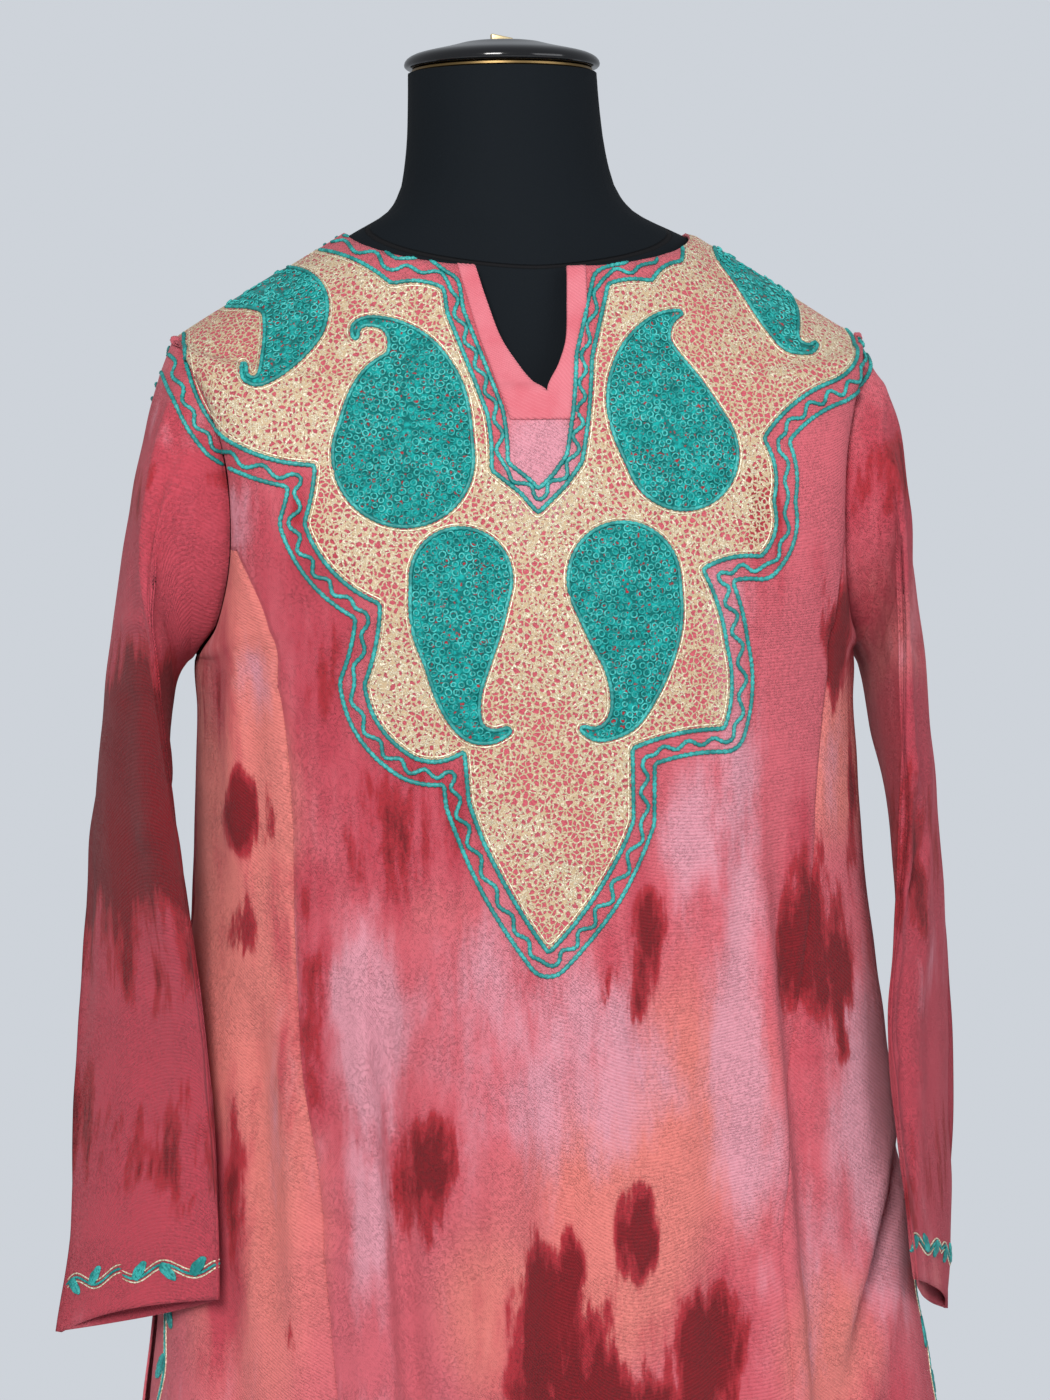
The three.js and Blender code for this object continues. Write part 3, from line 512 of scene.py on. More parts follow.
# Yoke of gold net: its outline as x, z and the bow of the stretch to the next point, seen from the front
yoke = {
    "lineGap": 12.5,  # from the gold's edge to the outer teal line
    "neckGap": 8.6, "neckHalf": 62, "neckFoot": 1180,  # the lines run closer together round the slit
    "waveGap": 6.4, "waveHeight": 2.4, "waveLength": 17,
    "goldHeight": 0.5, "leafHeight": 0.9, "far": -50.0,  # a depth for places without gold or leaf
}
frontOutline = [
    (-190, 1345, 0), (-201, 1282, 5), (-182, 1229, 4), (-133, 1213, -1), (-140, 1181, 7), (-99, 1135, -2),
    (-108, 1090, 6), (-81, 1048, 4), (-53, 1051, 0), (-51, 1023, 4), (-6, 935, 5), (44, 1010, 0), (44, 1051, -3),
    (99, 1060, 4), (101, 1108, 2), (87, 1152, -3), (122, 1158, 5), (131, 1190, 4), (127, 1226, -5), (176, 1259, 9),
    (198, 1300, 0), (192, 1345, 0), (110, 1385, 0), (88, 1330, 3), (67, 1318, 2), (40, 1316, 0), (27, 1273, -1),
    (18, 1214, 0), (8, 1201, 0), (-8, 1186, 0), (-17, 1197, 0), (-33, 1210, 1), (-34, 1242, 0), (-53, 1299, 0),
    (-54, 1314, 3), (-83, 1317, 3), (-120, 1340, 0), (-120, 1385, 0),
]
backOutline = [
    (-207, 1340, 0), (-207, 1262, 3), (-150, 1290, 4), (-108, 1302, 0), (-104, 1330, 0), (-125, 1345, 0),
    (-122, 1385, 0),
]
# Paisleys as x, z and half width along the middle, from the round end to the tip
paisleys = {
    "bigLeft": [
        (-83, 1218, 39.5), (-79, 1242, 34), (-73, 1257, 23.5), (-74, 1273, 15), (-80, 1286, 7.5), (-88, 1293, 3.4),
        (-98, 1295, 2.4), (-105, 1292, 2.1), (-106, 1286, 1.8),
    ],
    "bigRight": [
        (77, 1219, 33), (65, 1244, 30), (61, 1264, 21), (63, 1281, 11.5), (70, 1292, 6), (77, 1297, 3), (83, 1299, 1.4),
    ],
    "lowLeft": [
        (-53, 1149, 28.5), (-56, 1127, 25.5), (-56, 1107, 19), (-56, 1088, 13.2), (-53, 1073, 9), (-47, 1063, 5.8),
        (-37, 1060, 3.4), (-28, 1063, 2),
    ],
    "lowRight": [
        (40, 1147, 32.5), (45, 1125, 28), (47, 1105, 20.5), (45, 1086, 13.8), (40, 1071, 9), (32, 1063, 5.3),
        (23, 1060, 3.4), (15, 1063, 1.8),
    ],
    "shoulderLeft": [
        (-176, 1309, 3), (-157, 1314, 10.5), (-139, 1312, 17), (-138, 1299, 17), (-143, 1286, 13), (-150, 1274, 8.5),
        (-157, 1265, 4.2), (-163, 1261, 2.1), (-169, 1264, 1.7), (-169, 1271, 1.4),
    ],
    "shoulderRight": [
        (124, 1334, 9.5), (136, 1324, 15), (145, 1311, 17.5), (147, 1300, 14), (148, 1291, 10), (150, 1283, 6.6),
        (156, 1279, 3.8), (163, 1278, 2.4), (168, 1281, 1.6),
    ],
}


def bowedLine(corners):
    # the outline's points: between two corners runs an arc that bows out by the given height
    points = []
    for (x, z, bow), (nextX, nextZ, _) in zip(corners, corners[1:] + corners[:1]):
        wayX, wayZ = nextX - x, nextZ - z
        length = math.hypot(wayX, wayZ)
        for t in np.linspace(0, 1, 9)[:-1]:
            lift = 4 * bow * t * (1 - t)
            points.append((x + wayX * t + wayZ / length * lift, z + wayZ * t - wayX / length * lift))
    return np.array(points)


def insideDepth(outline, x, z):
    # how deep each place lies inside a closed outline, less than nothing outside
    far = np.full(x.shape, 1e9)
    inside = np.zeros(x.shape, bool)
    for (ax, az), (bx, bz) in zip(outline, np.roll(outline, -1, axis=0)):
        span = (bx - ax) ** 2 + (bz - az) ** 2 + 1e-9
        t = np.clip(((x - ax) * (bx - ax) + (z - az) * (bz - az)) / span, 0, 1)
        far = np.minimum(far, np.hypot(x - ax - (bx - ax) * t, z - az - (bz - az) * t))
        crosses = ((az > z) != (bz > z)) & (x < (bx - ax) * (z - az) / (bz - az + 1e-12) + ax)
        inside ^= crosses
    return np.where(inside, far, -far)


def paisleyDepth(name, x, z):
    middle = np.array(paisleys[name], float)
    table = {"at": list(range(len(middle))), "x": middle[:, 0], "z": middle[:, 1], "half": middle[:, 2]}
    at = np.linspace(0, len(middle) - 1, 8 * len(middle))
    depth = np.full(x.shape, -1e9)
    for mx, mz, half in zip(*(readTable(table, "at", name, at) for name in ("x", "z", "half"))):
        depth = np.maximum(depth, half - np.hypot(x - mx, z - mz))
    return depth


yokeLine = bowedLine(frontOutline)
backLineLeft = bowedLine(backOutline)
backLineRight = backLineLeft * [-1, 1]


def goldDepth(face, x, z):
    if face == "front":
        return insideDepth(yokeLine, x, z)
    return np.maximum(insideDepth(backLineLeft, x, z), insideDepth(backLineRight, x, z))


def leafDepth(face, x, z):
    if face == "back":
        return np.full(x.shape, yoke["far"])
    return np.max([paisleyDepth(name, x, z) for name in paisleys], axis=0)


# Dye, with a few blots of painted highlight among the pale ones: x, z, half width, half height and strength of each
# blot on the front
blots = {
    "deep": [
        (-136, 1110, 18, 48, 0.42), (-92, 1010, 40, 50, 0.42), (-140, 890, 12, 90, 0.55), (-72, 822, 22, 28, 0.5),
        (-84, 785, 36, 30, 0.3), (56, 948, 16, 26, 0.62), (38, 910, 22, 22, 0.5), (42, 776, 13, 28, 0.8),
        (-12, 748, 20, 40, 0.9), (-2, 690, 44, 52, 1.05), (84, 706, 26, 34, 0.95), (62, 660, 44, 34, 1.0),
        (125, 1183, 12, 44, 0.5), (180, 1120, 18, 50, 0.8), (150, 930, 20, 54, 0.8), (182, 800, 16, 60, 0.4),
        (-180, 1006, 12, 26, 0.75), (-172, 950, 9, 24, 0.7), (-186, 1085, 9, 18, 0.7), (-196, 850, 8, 70, 0.6),
        (190, 640, 26, 60, 0.6), (-40, 520, 50, 70, 0.9), (90, 470, 44, 70, 0.85), (-150, 500, 34, 70, 0.8),
        (0, 330, 80, 40, 0.9), (-190, 690, 8, 80, 0.8), (-150, 1190, 18, 16, 0.3),
    ],
    "rose": [
        (-138, 1112, 26, 80, 0.8), (-84, 1014, 44, 66, 0.95), (-140, 900, 16, 120, 0.8), (-72, 815, 40, 50, 0.6),
        (122, 1180, 22, 80, 0.75), (152, 930, 26, 84, 0.8), (176, 790, 34, 120, 0.7), (50, 940, 34, 44, 0.5),
        (-8, 715, 50, 70, 0.7), (84, 700, 44, 56, 0.7), (-150, 1190, 46, 46, 0.4), (-184, 980, 26, 60, 0.4),
        (0, 920, 30, 30, 0.5), (-40, 520, 90, 120, 0.9), (100, 470, 80, 120, 0.9), (-150, 480, 60, 120, 0.8),
        (-196, 800, 14, 160, 0.7), (180, 1120, 30, 80, 0.8), (30, 330, 160, 70, 0.8),
    ],
    "pale": [
        (-5, 1212, 22, 40, 1.0), (-178, 1183, 14, 24, 0.9), (-107, 900, 24, 70, 1.1), (16, 867, 50, 60, 0.9),
        # the pale blots at x 104 to 120, from 800 to 1000 high, are painted highlight along the lit edge of a fold
        # right of the yoke
        (108, 1000, 17, 100, 0.95),
        (-108, 800, 16, 70, 0.8), (-40, 930, 30, 40, 0.5), (120, 800, 18, 80, 0.6),
        (78, 1003, 18, 44, 0.8), (-152, 935, 10, 60, 0.5), (104, 850, 16, 80, 0.7), (30, 600, 46, 70, 0.7),
        (-110, 620, 34, 70, 0.7), (150, 560, 34, 70, 0.7), (-10, 420, 36, 60, 0.7), (-112, 1090, 9, 50, 0.5),
        (-60, 860, 26, 60, 0.4), (96, 1130, 12, 40, 0.4),
    ],
    "warm": [
        (183, 1043, 20, 60, 1.0), (160, 694, 40, 50, 1.0), (78, 850, 46, 90, 0.9), (-172, 1000, 34, 110, 1.0),
        (-166, 780, 36, 90, 0.9), (-40, 730, 40, 60, 0.9), (30, 740, 46, 60, 0.8), (-60, 960, 40, 30, 0.3),
        (20, 820, 60, 40, 0.7), (60, 560, 60, 60, 0.7), (-90, 420, 60, 60, 0.7),
    ],
}
goreBlots = {
    "deep": [
        (-171, 1016, 15, 26, 0.8), (-152, 1142, 9, 22, 0.7), (-188, 1085, 9, 30, 0.8), (-176, 948, 10, 24, 0.6),
        (-184, 800, 8, 60, 0.5), (-150, 700, 10, 40, 0.4), (174, 1120, 18, 50, 1.15), (158, 945, 18, 54, 0.8),
        (190, 1000, 8, 60, 0.5), (176, 890, 12, 40, 0.45), (-170, 520, 26, 50, 0.8), (180, 520, 30, 60, 0.8),
        (-200, 380, 30, 50, 0.8), (210, 380, 34, 50, 0.7),
    ],
    "rose": [
        (170, 1130, 40, 60, 0.9), (150, 900, 20, 120, 0.8), (200, 600, 60, 110, 0.8), (-186, 1100, 12, 60, 0.8),
        (-150, 900, 10, 90, 0.6), (-190, 760, 12, 120, 0.8), (-180, 520, 60, 90, 0.8), (200, 420, 60, 90, 0.8),
    ],
    "pale": [
        # the pale blots at x 190 and 214, 790 to 850 high, are partly pale dye and partly painted light that lifts the
        # gore where the right sleeve shades it
        (190, 850, 26, 90, 0.8), (214, 790, 26, 80, 1.2), (-166, 1090, 12, 30, 0.4), (-160, 850, 14, 60, 0.4),
        (176, 1035, 14, 40, 0.4), (150, 760, 20, 60, 0.5),
    ],
    "warm": [(-170, 1000, 60, 420, 1.0), (178, 1040, 34, 56, 1.0), (160, 690, 40, 60, 0.9), (0, 300, 400, 100, 0.8)],
}
sleeveBlots = {  # by height, where each band lies, of dye and on the left sleeve also of painted shade: z, half height, strength
    # the left sleeve's bands run deeper than the right's: partly dye, partly painted shade for a sleeve turned away
    # from the light
    "Left": {
        "deep": [(1022, 70, 1.9), (820, 34, 0.5), (1200, 20, 0.3), (930, 30, 0.35)],
        "rose": [(1040, 130, 1.3), (840, 90, 1.2), (1190, 60, 0.9), (740, 70, 1.1), (930, 60, 0.7)],
        "pale": [(1140, 40, 0.7), (905, 30, 0.4), (1245, 20, 0.4)], "warm": [(720, 30, 0.3)],
    },
    "Right": {
        "deep": [(985, 50, 0.5), (790, 40, 0.42), (1200, 34, 0.4)],
        "rose": [(1000, 110, 1.1), (800, 110, 1.0), (1190, 70, 0.9)],
        "pale": [(905, 34, 0.4), (1110, 26, 0.3)], "warm": [(1110, 50, 0.5), (715, 30, 0.4)],
    },
}


def blotField(table, x, z):
    field = np.zeros(len(x))
    for atX, atZ, wide, tall, strength in table:
        field += strength * np.exp(-((((x - atX) / wide) ** 2 + ((z - atZ) / tall) ** 2) ** 1.3))
    return field


def clothMarks(face, dyeAndPaintedLight=blots):
    def marks(points):
        x, z = points[:, 0], points[:, 2]
        found = {}
        for i, kind in enumerate(("deep", "rose", "pale", "warm")):
            dyeX, dyeZ = (x, z) if face == "front" else (-x * 0.93 + 12 * i, z + 21)  # the back's blots, dye and painted highlight, lie shifted
            found[kind] = (blotField(dyeAndPaintedLight[kind], dyeX, dyeZ), None)
        found["gold"] = (goldDepth(face, x, z), yoke["far"])
        found["leaf"] = (leafDepth(face, x, z), yoke["far"])
        return found
    return marks


def sleeveMarks(hand):
    def marks(points):
        height = points[:, 2] + softWaves(points, 70, 11) * 16
        found = {}
        for kind, bands in sleeveBlots[hand].items():
            dyeAndPaintedLight = sum(strength * np.exp(-(np.abs((height - z) / tall) ** 3)) for z, tall, strength in bands)
            found[kind] = (dyeAndPaintedLight, None)
        found["gold"] = found["leaf"] = (np.full(len(points), yoke["far"]), None)
        return found
    return marks


def raisedWork(face):
    def raised(points):
        x, z = points[:, 0], points[:, 2]
        gold, leaf = goldDepth(face, x, z), leafDepth(face, x, z)
        return yoke["goldHeight"] * smoothStep(gold / 3 + 0.5) + yoke["leafHeight"] * smoothStep(leaf / 4 + 0.3)
    return raised


def addNode(tree, kind, values, **settings):
    node = tree.nodes.new(kind)
    for name, value in settings.items():
        setattr(node, name, value)
    for socket, value in values.items():
        if isinstance(value, bpy.types.NodeSocket):
            tree.links.new(value, node.inputs[socket])
        else:
            node.inputs[socket].default_value = value
    return node


class Shade:
    # a few nodes under short names, so that a material reads like the layers that it is made of
    def __init__(self, name):
        self.material = bpy.data.materials.new(name)
        self.material.use_nodes = True
        self.tree = self.material.node_tree
        self.shader = self.tree.nodes["Principled BSDF"]
        place = addNode(self.tree, "ShaderNodeTexCoord", {})
        self.here, self.lengths = place.outputs["Object"], place.outputs["UV"]

    def node(self, kind, values, **settings):
        return addNode(self.tree, "ShaderNode" + kind, values, **settings)

    def mark(self, name):
        return self.node("Attribute", {}, attribute_name=name).outputs["Fac"]

    def sum(self, a, b, operation="ADD"):
        return self.node("Math", {0: a, 1: b}, operation=operation).outputs[0]

    def times(self, a, b):
        return self.sum(a, b, "MULTIPLY")

    def ramp(self, value, low, high, toLow=0.0, toHigh=1.0):
        values = {"Value": value, "From Min": low, "From Max": high, "To Min": toLow, "To Max": toHigh}
        return self.node("MapRange", values, interpolation_type="SMOOTHSTEP").outputs[0]

    def noise(self, scale, detail, rough=0.55, stretch=None):
        where = self.here
        if stretch is not None:
            where = self.node("Mapping", {"Vector": where, "Scale": stretch}).outputs[0]
        values = {"Vector": where, "Scale": scale, "Detail": detail, "Roughness": rough}
        return self.node("TexNoise", values).outputs["Fac"]

    def cells(self, where, scale):
        values = {"Vector": where, "Scale": scale}
        return self.node("TexVoronoi", values, feature="DISTANCE_TO_EDGE").outputs["Distance"]

    def mix(self, share, a, b):
        return self.node("Mix", {"Factor": share, 6: a, 7: b}, data_type="RGBA").outputs[2]

    def bump(self, height, distance, before=None):
        values = {"Height": height, "Distance": distance, "Strength": 1.0}
        if before is not None:
            values["Normal"] = before
        return self.node("Bump", values).outputs[0]

    def twill(self):
        # fine diagonal ribs along the cloth's own lengths
        turned = self.node("Mapping", {"Vector": self.lengths, "Rotation": (0, 0, math.radians(-52))}).outputs[0]
        values = {"Vector": turned, "Scale": 190.0, "Distortion": 0.4, "Detail": 1.0, "Detail Scale": 3.0}
        return self.node("TexWave", values).outputs["Fac"]

    def finish(self, **values):
        for name, value in values.items():
            socket = self.shader.inputs[name.replace("_", " ")]
            if isinstance(value, bpy.types.NodeSocket):
                self.tree.links.new(value, socket)
            else:
                socket.default_value = value
        return self.material


colours = {
    "mid": (0.56, 0.115, 0.145, 1), "salmon": (0.66, 0.19, 0.165, 1), "lilac": (0.62, 0.27, 0.33, 1),
    "rose": (0.44, 0.05, 0.075, 1), "red": (0.34, 0.022, 0.032, 1), "maroon": (0.155, 0.006, 0.010, 1),
    "facing": (0.62, 0.18, 0.215, 1), "goldLight": (0.93, 0.88, 0.68, 1), "goldDark": (0.47, 0.34, 0.20, 1),
    "tealLow": (0.004, 0.20, 0.19, 1), "tealMid": (0.035, 0.40, 0.375, 1),
    "tealDark": (0.0, 0.13, 0.122, 1), "teal": (0.006, 0.35, 0.33, 1), "tealLight": (0.07, 0.55, 0.52, 1),
    # the brass is darkened: partly its tone, partly painted shade for the ring in the shade under the cap's rim
    "brass": (0.22, 0.145, 0.06, 1), "form": (0.0038, 0.006, 0.0085, 1), "cap": (0.006, 0.006, 0.007, 1),
    "tab": (0.72, 0.58, 0.33, 1), "enamel": (0.012, 0.013, 0.015, 1), "floor": (0.60, 0.63, 0.66, 1),
    "room": (0.88, 0.93, 1.0, 1),
}


def dyedCloth():
    s = Shade("dyedCloth")
    streaks = s.sum(s.noise(62, 5, 0.62, stretch=(1, 1, 0.22)), -0.5)
    clouds = s.sum(s.noise(17, 3, 0.5, stretch=(1, 1, 0.5)), -0.5)
    wide = s.sum(s.noise(8, 2, 0.5, stretch=(1, 1, 0.4)), -0.5)
    uneven = s.sum(streaks, clouds)
    ragged = s.sum(s.times(streaks, 2.8), s.times(clouds, 2.0))
    # the deep and pale marks carry the dye, and beside it a few blots of painted shade and painted highlight
    deep = s.mark("deep")
    deep = s.sum(deep, s.times(ragged, s.ramp(deep, 0.02, 0.4)))
    rose = s.sum(s.mark("rose"), s.times(s.sum(uneven, wide), 1.5))
    pale = s.sum(s.mark("pale"), s.times(uneven, -1.4))
    warm = s.sum(s.mark("warm"), s.times(clouds, 0.8))
    colour = s.mix(s.ramp(warm, 0.1, 0.9), colours["mid"], colours["salmon"])
    colour = s.mix(s.ramp(pale, 0.2, 0.95), colour, colours["lilac"])
    colour = s.mix(s.ramp(rose, 0.25, 0.95, 0.0, 0.95), colour, colours["rose"])
    colour = s.mix(s.ramp(deep, 0.3, 0.6), colour, colours["red"])
    colour = s.mix(s.ramp(deep, 0.6, 0.9), colour, colours["maroon"])
    # gold thread wanders in a net that leaves small holes of bare cloth
    wander = s.node("TexNoise", {"Vector": s.here, "Scale": 420.0, "Detail": 1.0}).outputs["Color"]
    shifted = s.node("VectorMath", {0: wander, 1: (0.0026,) * 3}, operation="MULTIPLY").outputs[0]
    where = s.node("VectorMath", {0: s.here, 1: shifted}).outputs[0]
    dense = s.noise(26, 2)
    net = s.sum(s.cells(where, 310), s.ramp(dense, 0.3, 0.7, 0.05, -0.06))
    inGold, leaf = s.ramp(s.mark("gold"), -0.3, 0.3), s.ramp(s.mark("leaf"), -0.3, 0.3)
    gold = s.times(s.times(s.ramp(net, 0.14, 0.21, 1.0, 0.0), inGold), s.sum(1.0, leaf, "SUBTRACT"))
    glint = s.ramp(s.cells(where, 760), 0.02, 0.2, 1.0, 0.0)
    glint = s.times(glint, s.ramp(s.noise(500, 2, 0.7), 0.35, 0.62))
    glint = s.times(glint, s.ramp(dense, 0.35, 0.6, 0.45, 1.0))
    underGold = s.mix(s.times(inGold, 0.3), colour, colours["rose"])
    colour = s.mix(gold, underGold, s.mix(glint, colours["goldDark"], colours["goldLight"]))
    fill = s.mix(s.ramp(s.noise(260, 2), 0.4, 0.66), colours["tealDark"], colours["teal"])
    specks = s.ramp(s.noise(480, 1), 0.62, 0.68)
    colour = s.mix(leaf, colour, s.mix(specks, fill, colours["red"]))
    rib = s.times(s.twill(), s.sum(1.0, s.ramp(s.sum(gold, leaf), 0.0, 0.4), "SUBTRACT"))
    colour = s.mix(s.times(rib, 0.2), colour, colours["red"])
    normal = s.bump(s.noise(150, 3), 0.0005, s.bump(rib, 0.0002))
    normal = s.bump(s.sum(gold, s.times(glint, 0.6)), 0.0007, normal)
    rough = s.node("Mix", {"Factor": gold, 2: 0.88, 3: 0.5}).outputs[0]
    return s.finish(Base_Color=colour, Roughness=rough, Normal=normal, Sheen_Weight=0.06, Specular_IOR_Level=0.25)


def facingCloth():
    s = Shade("facingCloth")
    tone = s.mix(s.ramp(s.noise(40, 3), 0.3, 0.8), colours["facing"], colours["mid"])
    rib = s.twill()
    tone = s.mix(s.times(rib, 0.18), tone, colours["rose"])
    normal = s.bump(rib, 0.0002)
    return s.finish(Base_Color=tone, Roughness=0.88, Normal=normal, Sheen_Weight=0.06, Specular_IOR_Level=0.25)


def tealThread(name, low, high):
    s = Shade(name)
    fine = s.noise(700, 2)
    colour = s.mix(s.ramp(s.noise(90, 2), 0.38, 0.62), colours[low], colours[high])
    colour = s.mix(s.ramp(fine, 0.44, 0.66, 0.0, 0.8), colour, colours["tealDark"])
    return s.finish(Base_Color=colour, Roughness=0.5, Normal=s.bump(fine, 0.0003))


def goldThread():
    s = Shade("goldThread")
    fine = s.noise(800, 2)
    colour = s.mix(s.ramp(fine, 0.35, 0.65), colours["goldDark"], colours["goldLight"])
    return s.finish(Base_Color=colour, Roughness=0.4, Metallic=0.3, Normal=s.bump(fine, 0.0003))


def formCloth():
    # matt jersey with the seam at the neck's foot, lower in front
    s = Shade("formCloth")
    place = s.node("SeparateXYZ", {"Vector": s.here}).outputs
    level = s.sum(place["Z"], s.times(place["Y"], stand["seamSlope"]), "SUBTRACT")
    off = s.sum(s.sum(level, stand["seamHeight"], "SUBTRACT"), 0.0, "ABSOLUTE")
    seam = s.ramp(off, 0.0004, 0.0014)
    normal = s.bump(s.noise(900, 2), 0.0002, s.bump(seam, 0.0012))
    colour = s.mix(seam, colours["cap"], colours["form"])
    return s.finish(Base_Color=colour, Roughness=0.85, Normal=normal, Specular_IOR_Level=0.15)


def plainFinish(name, colour, roughness, metallic=0.0, shine=0.5):
    return Shade(name).finish(
        Base_Color=colours[colour], Roughness=roughness, Metallic=metallic, Specular_IOR_Level=shine)


# Hard pieces, turned or shaped from the frame's sizes, in millimetres
stand = {
    "seamHeight": 1.357, "seamSlope": 0.45,  # the neck's seam, in metres, and how far it rises to the back
    "capRise": 15.8, "capRadius": 58, "lean": -8, "ringRadius": 53.5, "ringInner": 50, "ringEdge": 0.6,
    "poleRadius": 16, "poleEdge": 0.4, "knobEdge": 0.7, "knobDrop": 0.6,
    "formAngle": 35, "turnedAngle": 40, "edgeAngle": 30,
    "baseRows": [
        (194, 0), (199, 1), (200, 4), (200, 13), (198.6, 16), (195, 18), (120, 21), (62, 24), (42, 27), (33, 32),
        (30.4, 38), (30, 44), (30, 61), (29, 62),
    ],
}
capRows = {  # the cap's side: how far in from the rim, and how high as a share of the cap
    "inward": [4, 1.2, 0.2, 0, 0.5, 1.6, 3.4, 5.8, 9, 13, 18, 23, 27.5, 31, 34, 37, 41, 47, 55],
    "rise": [
        0, 0.02, 0.08, 0.16, 0.26, 0.35, 0.43, 0.5, 0.56, 0.62, 0.69, 0.76, 0.83, 0.89, 0.94, 0.97, 0.985, 0.995, 1,
    ],
}


def smoothUpTo(name):
    bpy.ops.object.shade_smooth_by_angle(angle=math.radians(stand[name]))


def heights(node):
    return (corner.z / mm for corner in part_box(node))


def turnedPiece(name, rows, sides=96):
    # a flat disc, pulled up row by row: radius and height in millimetres, from the bottom up
    bpy.ops.object.select_all(action="DESELECT")
    radius, height = rows[0]
    place = (0, 0, height * mm)
    bpy.ops.mesh.primitive_circle_add(vertices=sides, radius=radius * mm, fill_type="NGON", location=place)
    obj = bpy.context.object
    obj.name = name
    bpy.ops.object.transform_apply(location=True, rotation=True, scale=True)
    bpy.ops.object.mode_set(mode="EDIT")
    bpy.ops.mesh.select_all(action="SELECT")
    for nextRadius, nextHeight in rows[1:]:
        move = {"value": (0, 0, (nextHeight - height) * mm)}
        bpy.ops.mesh.extrude_region_move(TRANSFORM_OT_translate=move)
        bpy.ops.transform.resize(value=(nextRadius / radius, nextRadius / radius, 1))
        radius, height = nextRadius, nextHeight
    bpy.ops.mesh.select_all(action="SELECT")
    bpy.ops.mesh.normals_make_consistent(inside=False)
    bpy.ops.object.mode_set(mode="OBJECT")
    return obj


def softenEdges(obj, width, segments):
    bevel = obj.modifiers.new("edges", "BEVEL")
    bevel.width, bevel.segments, bevel.limit_method = width * mm, segments, "ANGLE"
    bevel.angle_limit = math.radians(stand["edgeAngle"])
    bpy.ops.object.modifier_apply(modifier=bevel.name)
    smoothUpTo("edgeAngle")


def makeForm():
    bpy.ops.object.select_all(action="DESELECT")
    obj = linked("formSkin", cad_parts["form_body"].data.copy())
    bpy.context.view_layer.objects.active = obj
    obj.select_set(True)
    bpy.ops.object.mode_set(mode="EDIT")
    bpy.ops.mesh.select_all(action="SELECT")
    bpy.ops.mesh.remove_doubles(threshold=0.00002)
    bpy.ops.mesh.normals_make_consistent(inside=False)
    bpy.ops.object.mode_set(mode="OBJECT")
    # the rims at the top and at the bottom stay sharp
    z = np.array([vertex.co.z for vertex in obj.data.vertices])
    ends = z[np.array([list(edge.vertices) for edge in obj.data.edges])]
    rim = (np.abs(ends - z.max()) < 1e-4).all(axis=1) | (np.abs(ends - z.min()) < 1e-4).all(axis=1)
    obj.data.attributes.new("crease_edge", "FLOAT", "EDGE").data.foreach_set("value", rim.astype(float))
    smooth = obj.modifiers.new("smooth", "SUBSURF")
    smooth.levels = smooth.render_levels = 2
    bpy.ops.object.modifier_apply(modifier=smooth.name)
    smoothUpTo("formAngle")
    return obj


def makeCap():
    # a rounded rim, a sloping brim and a flat crown, over a brass ring
    low, _ = heights("neck_cap")
    rows = [
        (stand["capRadius"] - inward, low + rise * stand["capRise"])
        for inward, rise in zip(capRows["inward"], capRows["rise"])]
    cap = turnedPiece("capDome", rows)
    smoothUpTo("turnedAngle")
    low, high = heights("cap_ring")
    r, inner, edge = stand["ringRadius"], stand["ringInner"], stand["ringEdge"]
    rows = [(inner, low), (r - edge, low), (r, low + edge), (r, high - edge), (r - edge, high), (inner, high)]
    ring = turnedPiece("capRing", rows)
    smoothUpTo("turnedAngle")
    for obj in (cap, ring):
        obj.data.transform(Matrix.Translation((stand["lean"] * mm, 0, 0)))
    return cap, ring


def makeKnob():
    low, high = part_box("cap_knob")
    size = (high - low) / mm
    bpy.ops.object.select_all(action="DESELECT")
    bpy.ops.mesh.primitive_cube_add(size=mm)
    knob = bpy.context.object
    knob.name = "capKnob"
    knob.scale = size
    knob.location = (low + high) / 2
    bpy.ops.object.transform_apply(location=True, rotation=True, scale=True)
    for vertex in knob.data.vertices:  # the right end tapers down
        if vertex.co.x > knob.data.vertices[0].co.x + mm and vertex.co.z > (low.z + high.z) / 2:
            vertex.co.z -= stand["knobDrop"] * size.z * mm
    softenEdges(knob, stand["knobEdge"], 3)
    return knob


def makeStand():
    pole = turnedPiece("pole", [(stand["poleRadius"], height) for height in heights("pole")], 64)
    softenEdges(pole, stand["poleEdge"], 2)
    base = turnedPiece("standBase", stand["baseRows"], 128)
    smoothUpTo("turnedAngle")
    return pole, base


def dress(obj, material, slot, *nodes):
    obj.data.materials.clear()
    obj.data.materials.append(material)
    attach(obj, "root")
    if nodes:
        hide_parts(*nodes)
    return obj


facingEdges = {  # the facing's outer edge at each row of the panel, from the centre line
    "row": [0, 1, 2, 3, 4, 5, 6],
    "left": [46, 41.5, 36.5, 32, 29, 27, 22],
    "right": [28, 27, 24.5, 22, 20, 18, 16],
    "lift": 1.35,  # how far the facing lies above the panel
}


def makeFacing():
    # the facing turned out round the slit, out to the inner line of stitches
    rows = np.linspace(0, facingEdges["row"][-1], 60)
    row, t = np.meshgrid(rows, np.linspace(0, 1, 9), indexing="ij")
    grids = []
    for side, name in ((-1, "left"), (1, "right")):
        edge = readTable(facingEdges, "row", name, row) / rowEdge(row)[0]
        start = slitShare("front", side, row)
        grid = bodyPoint("front", row, side * (start + (edge - start) * t))
        grids.append((grid, np.ones((len(rows) - 1, 8), bool), lengthsAlong(grid, side), side < 0))

    def bends(points):
        return bodyBends("front")(points) + facingEdges["lift"] + softWaves(points, 30, 15) * 0.12

    return clothWall("neckFacing", grids, bends, nothingRaised, lambda points: {})


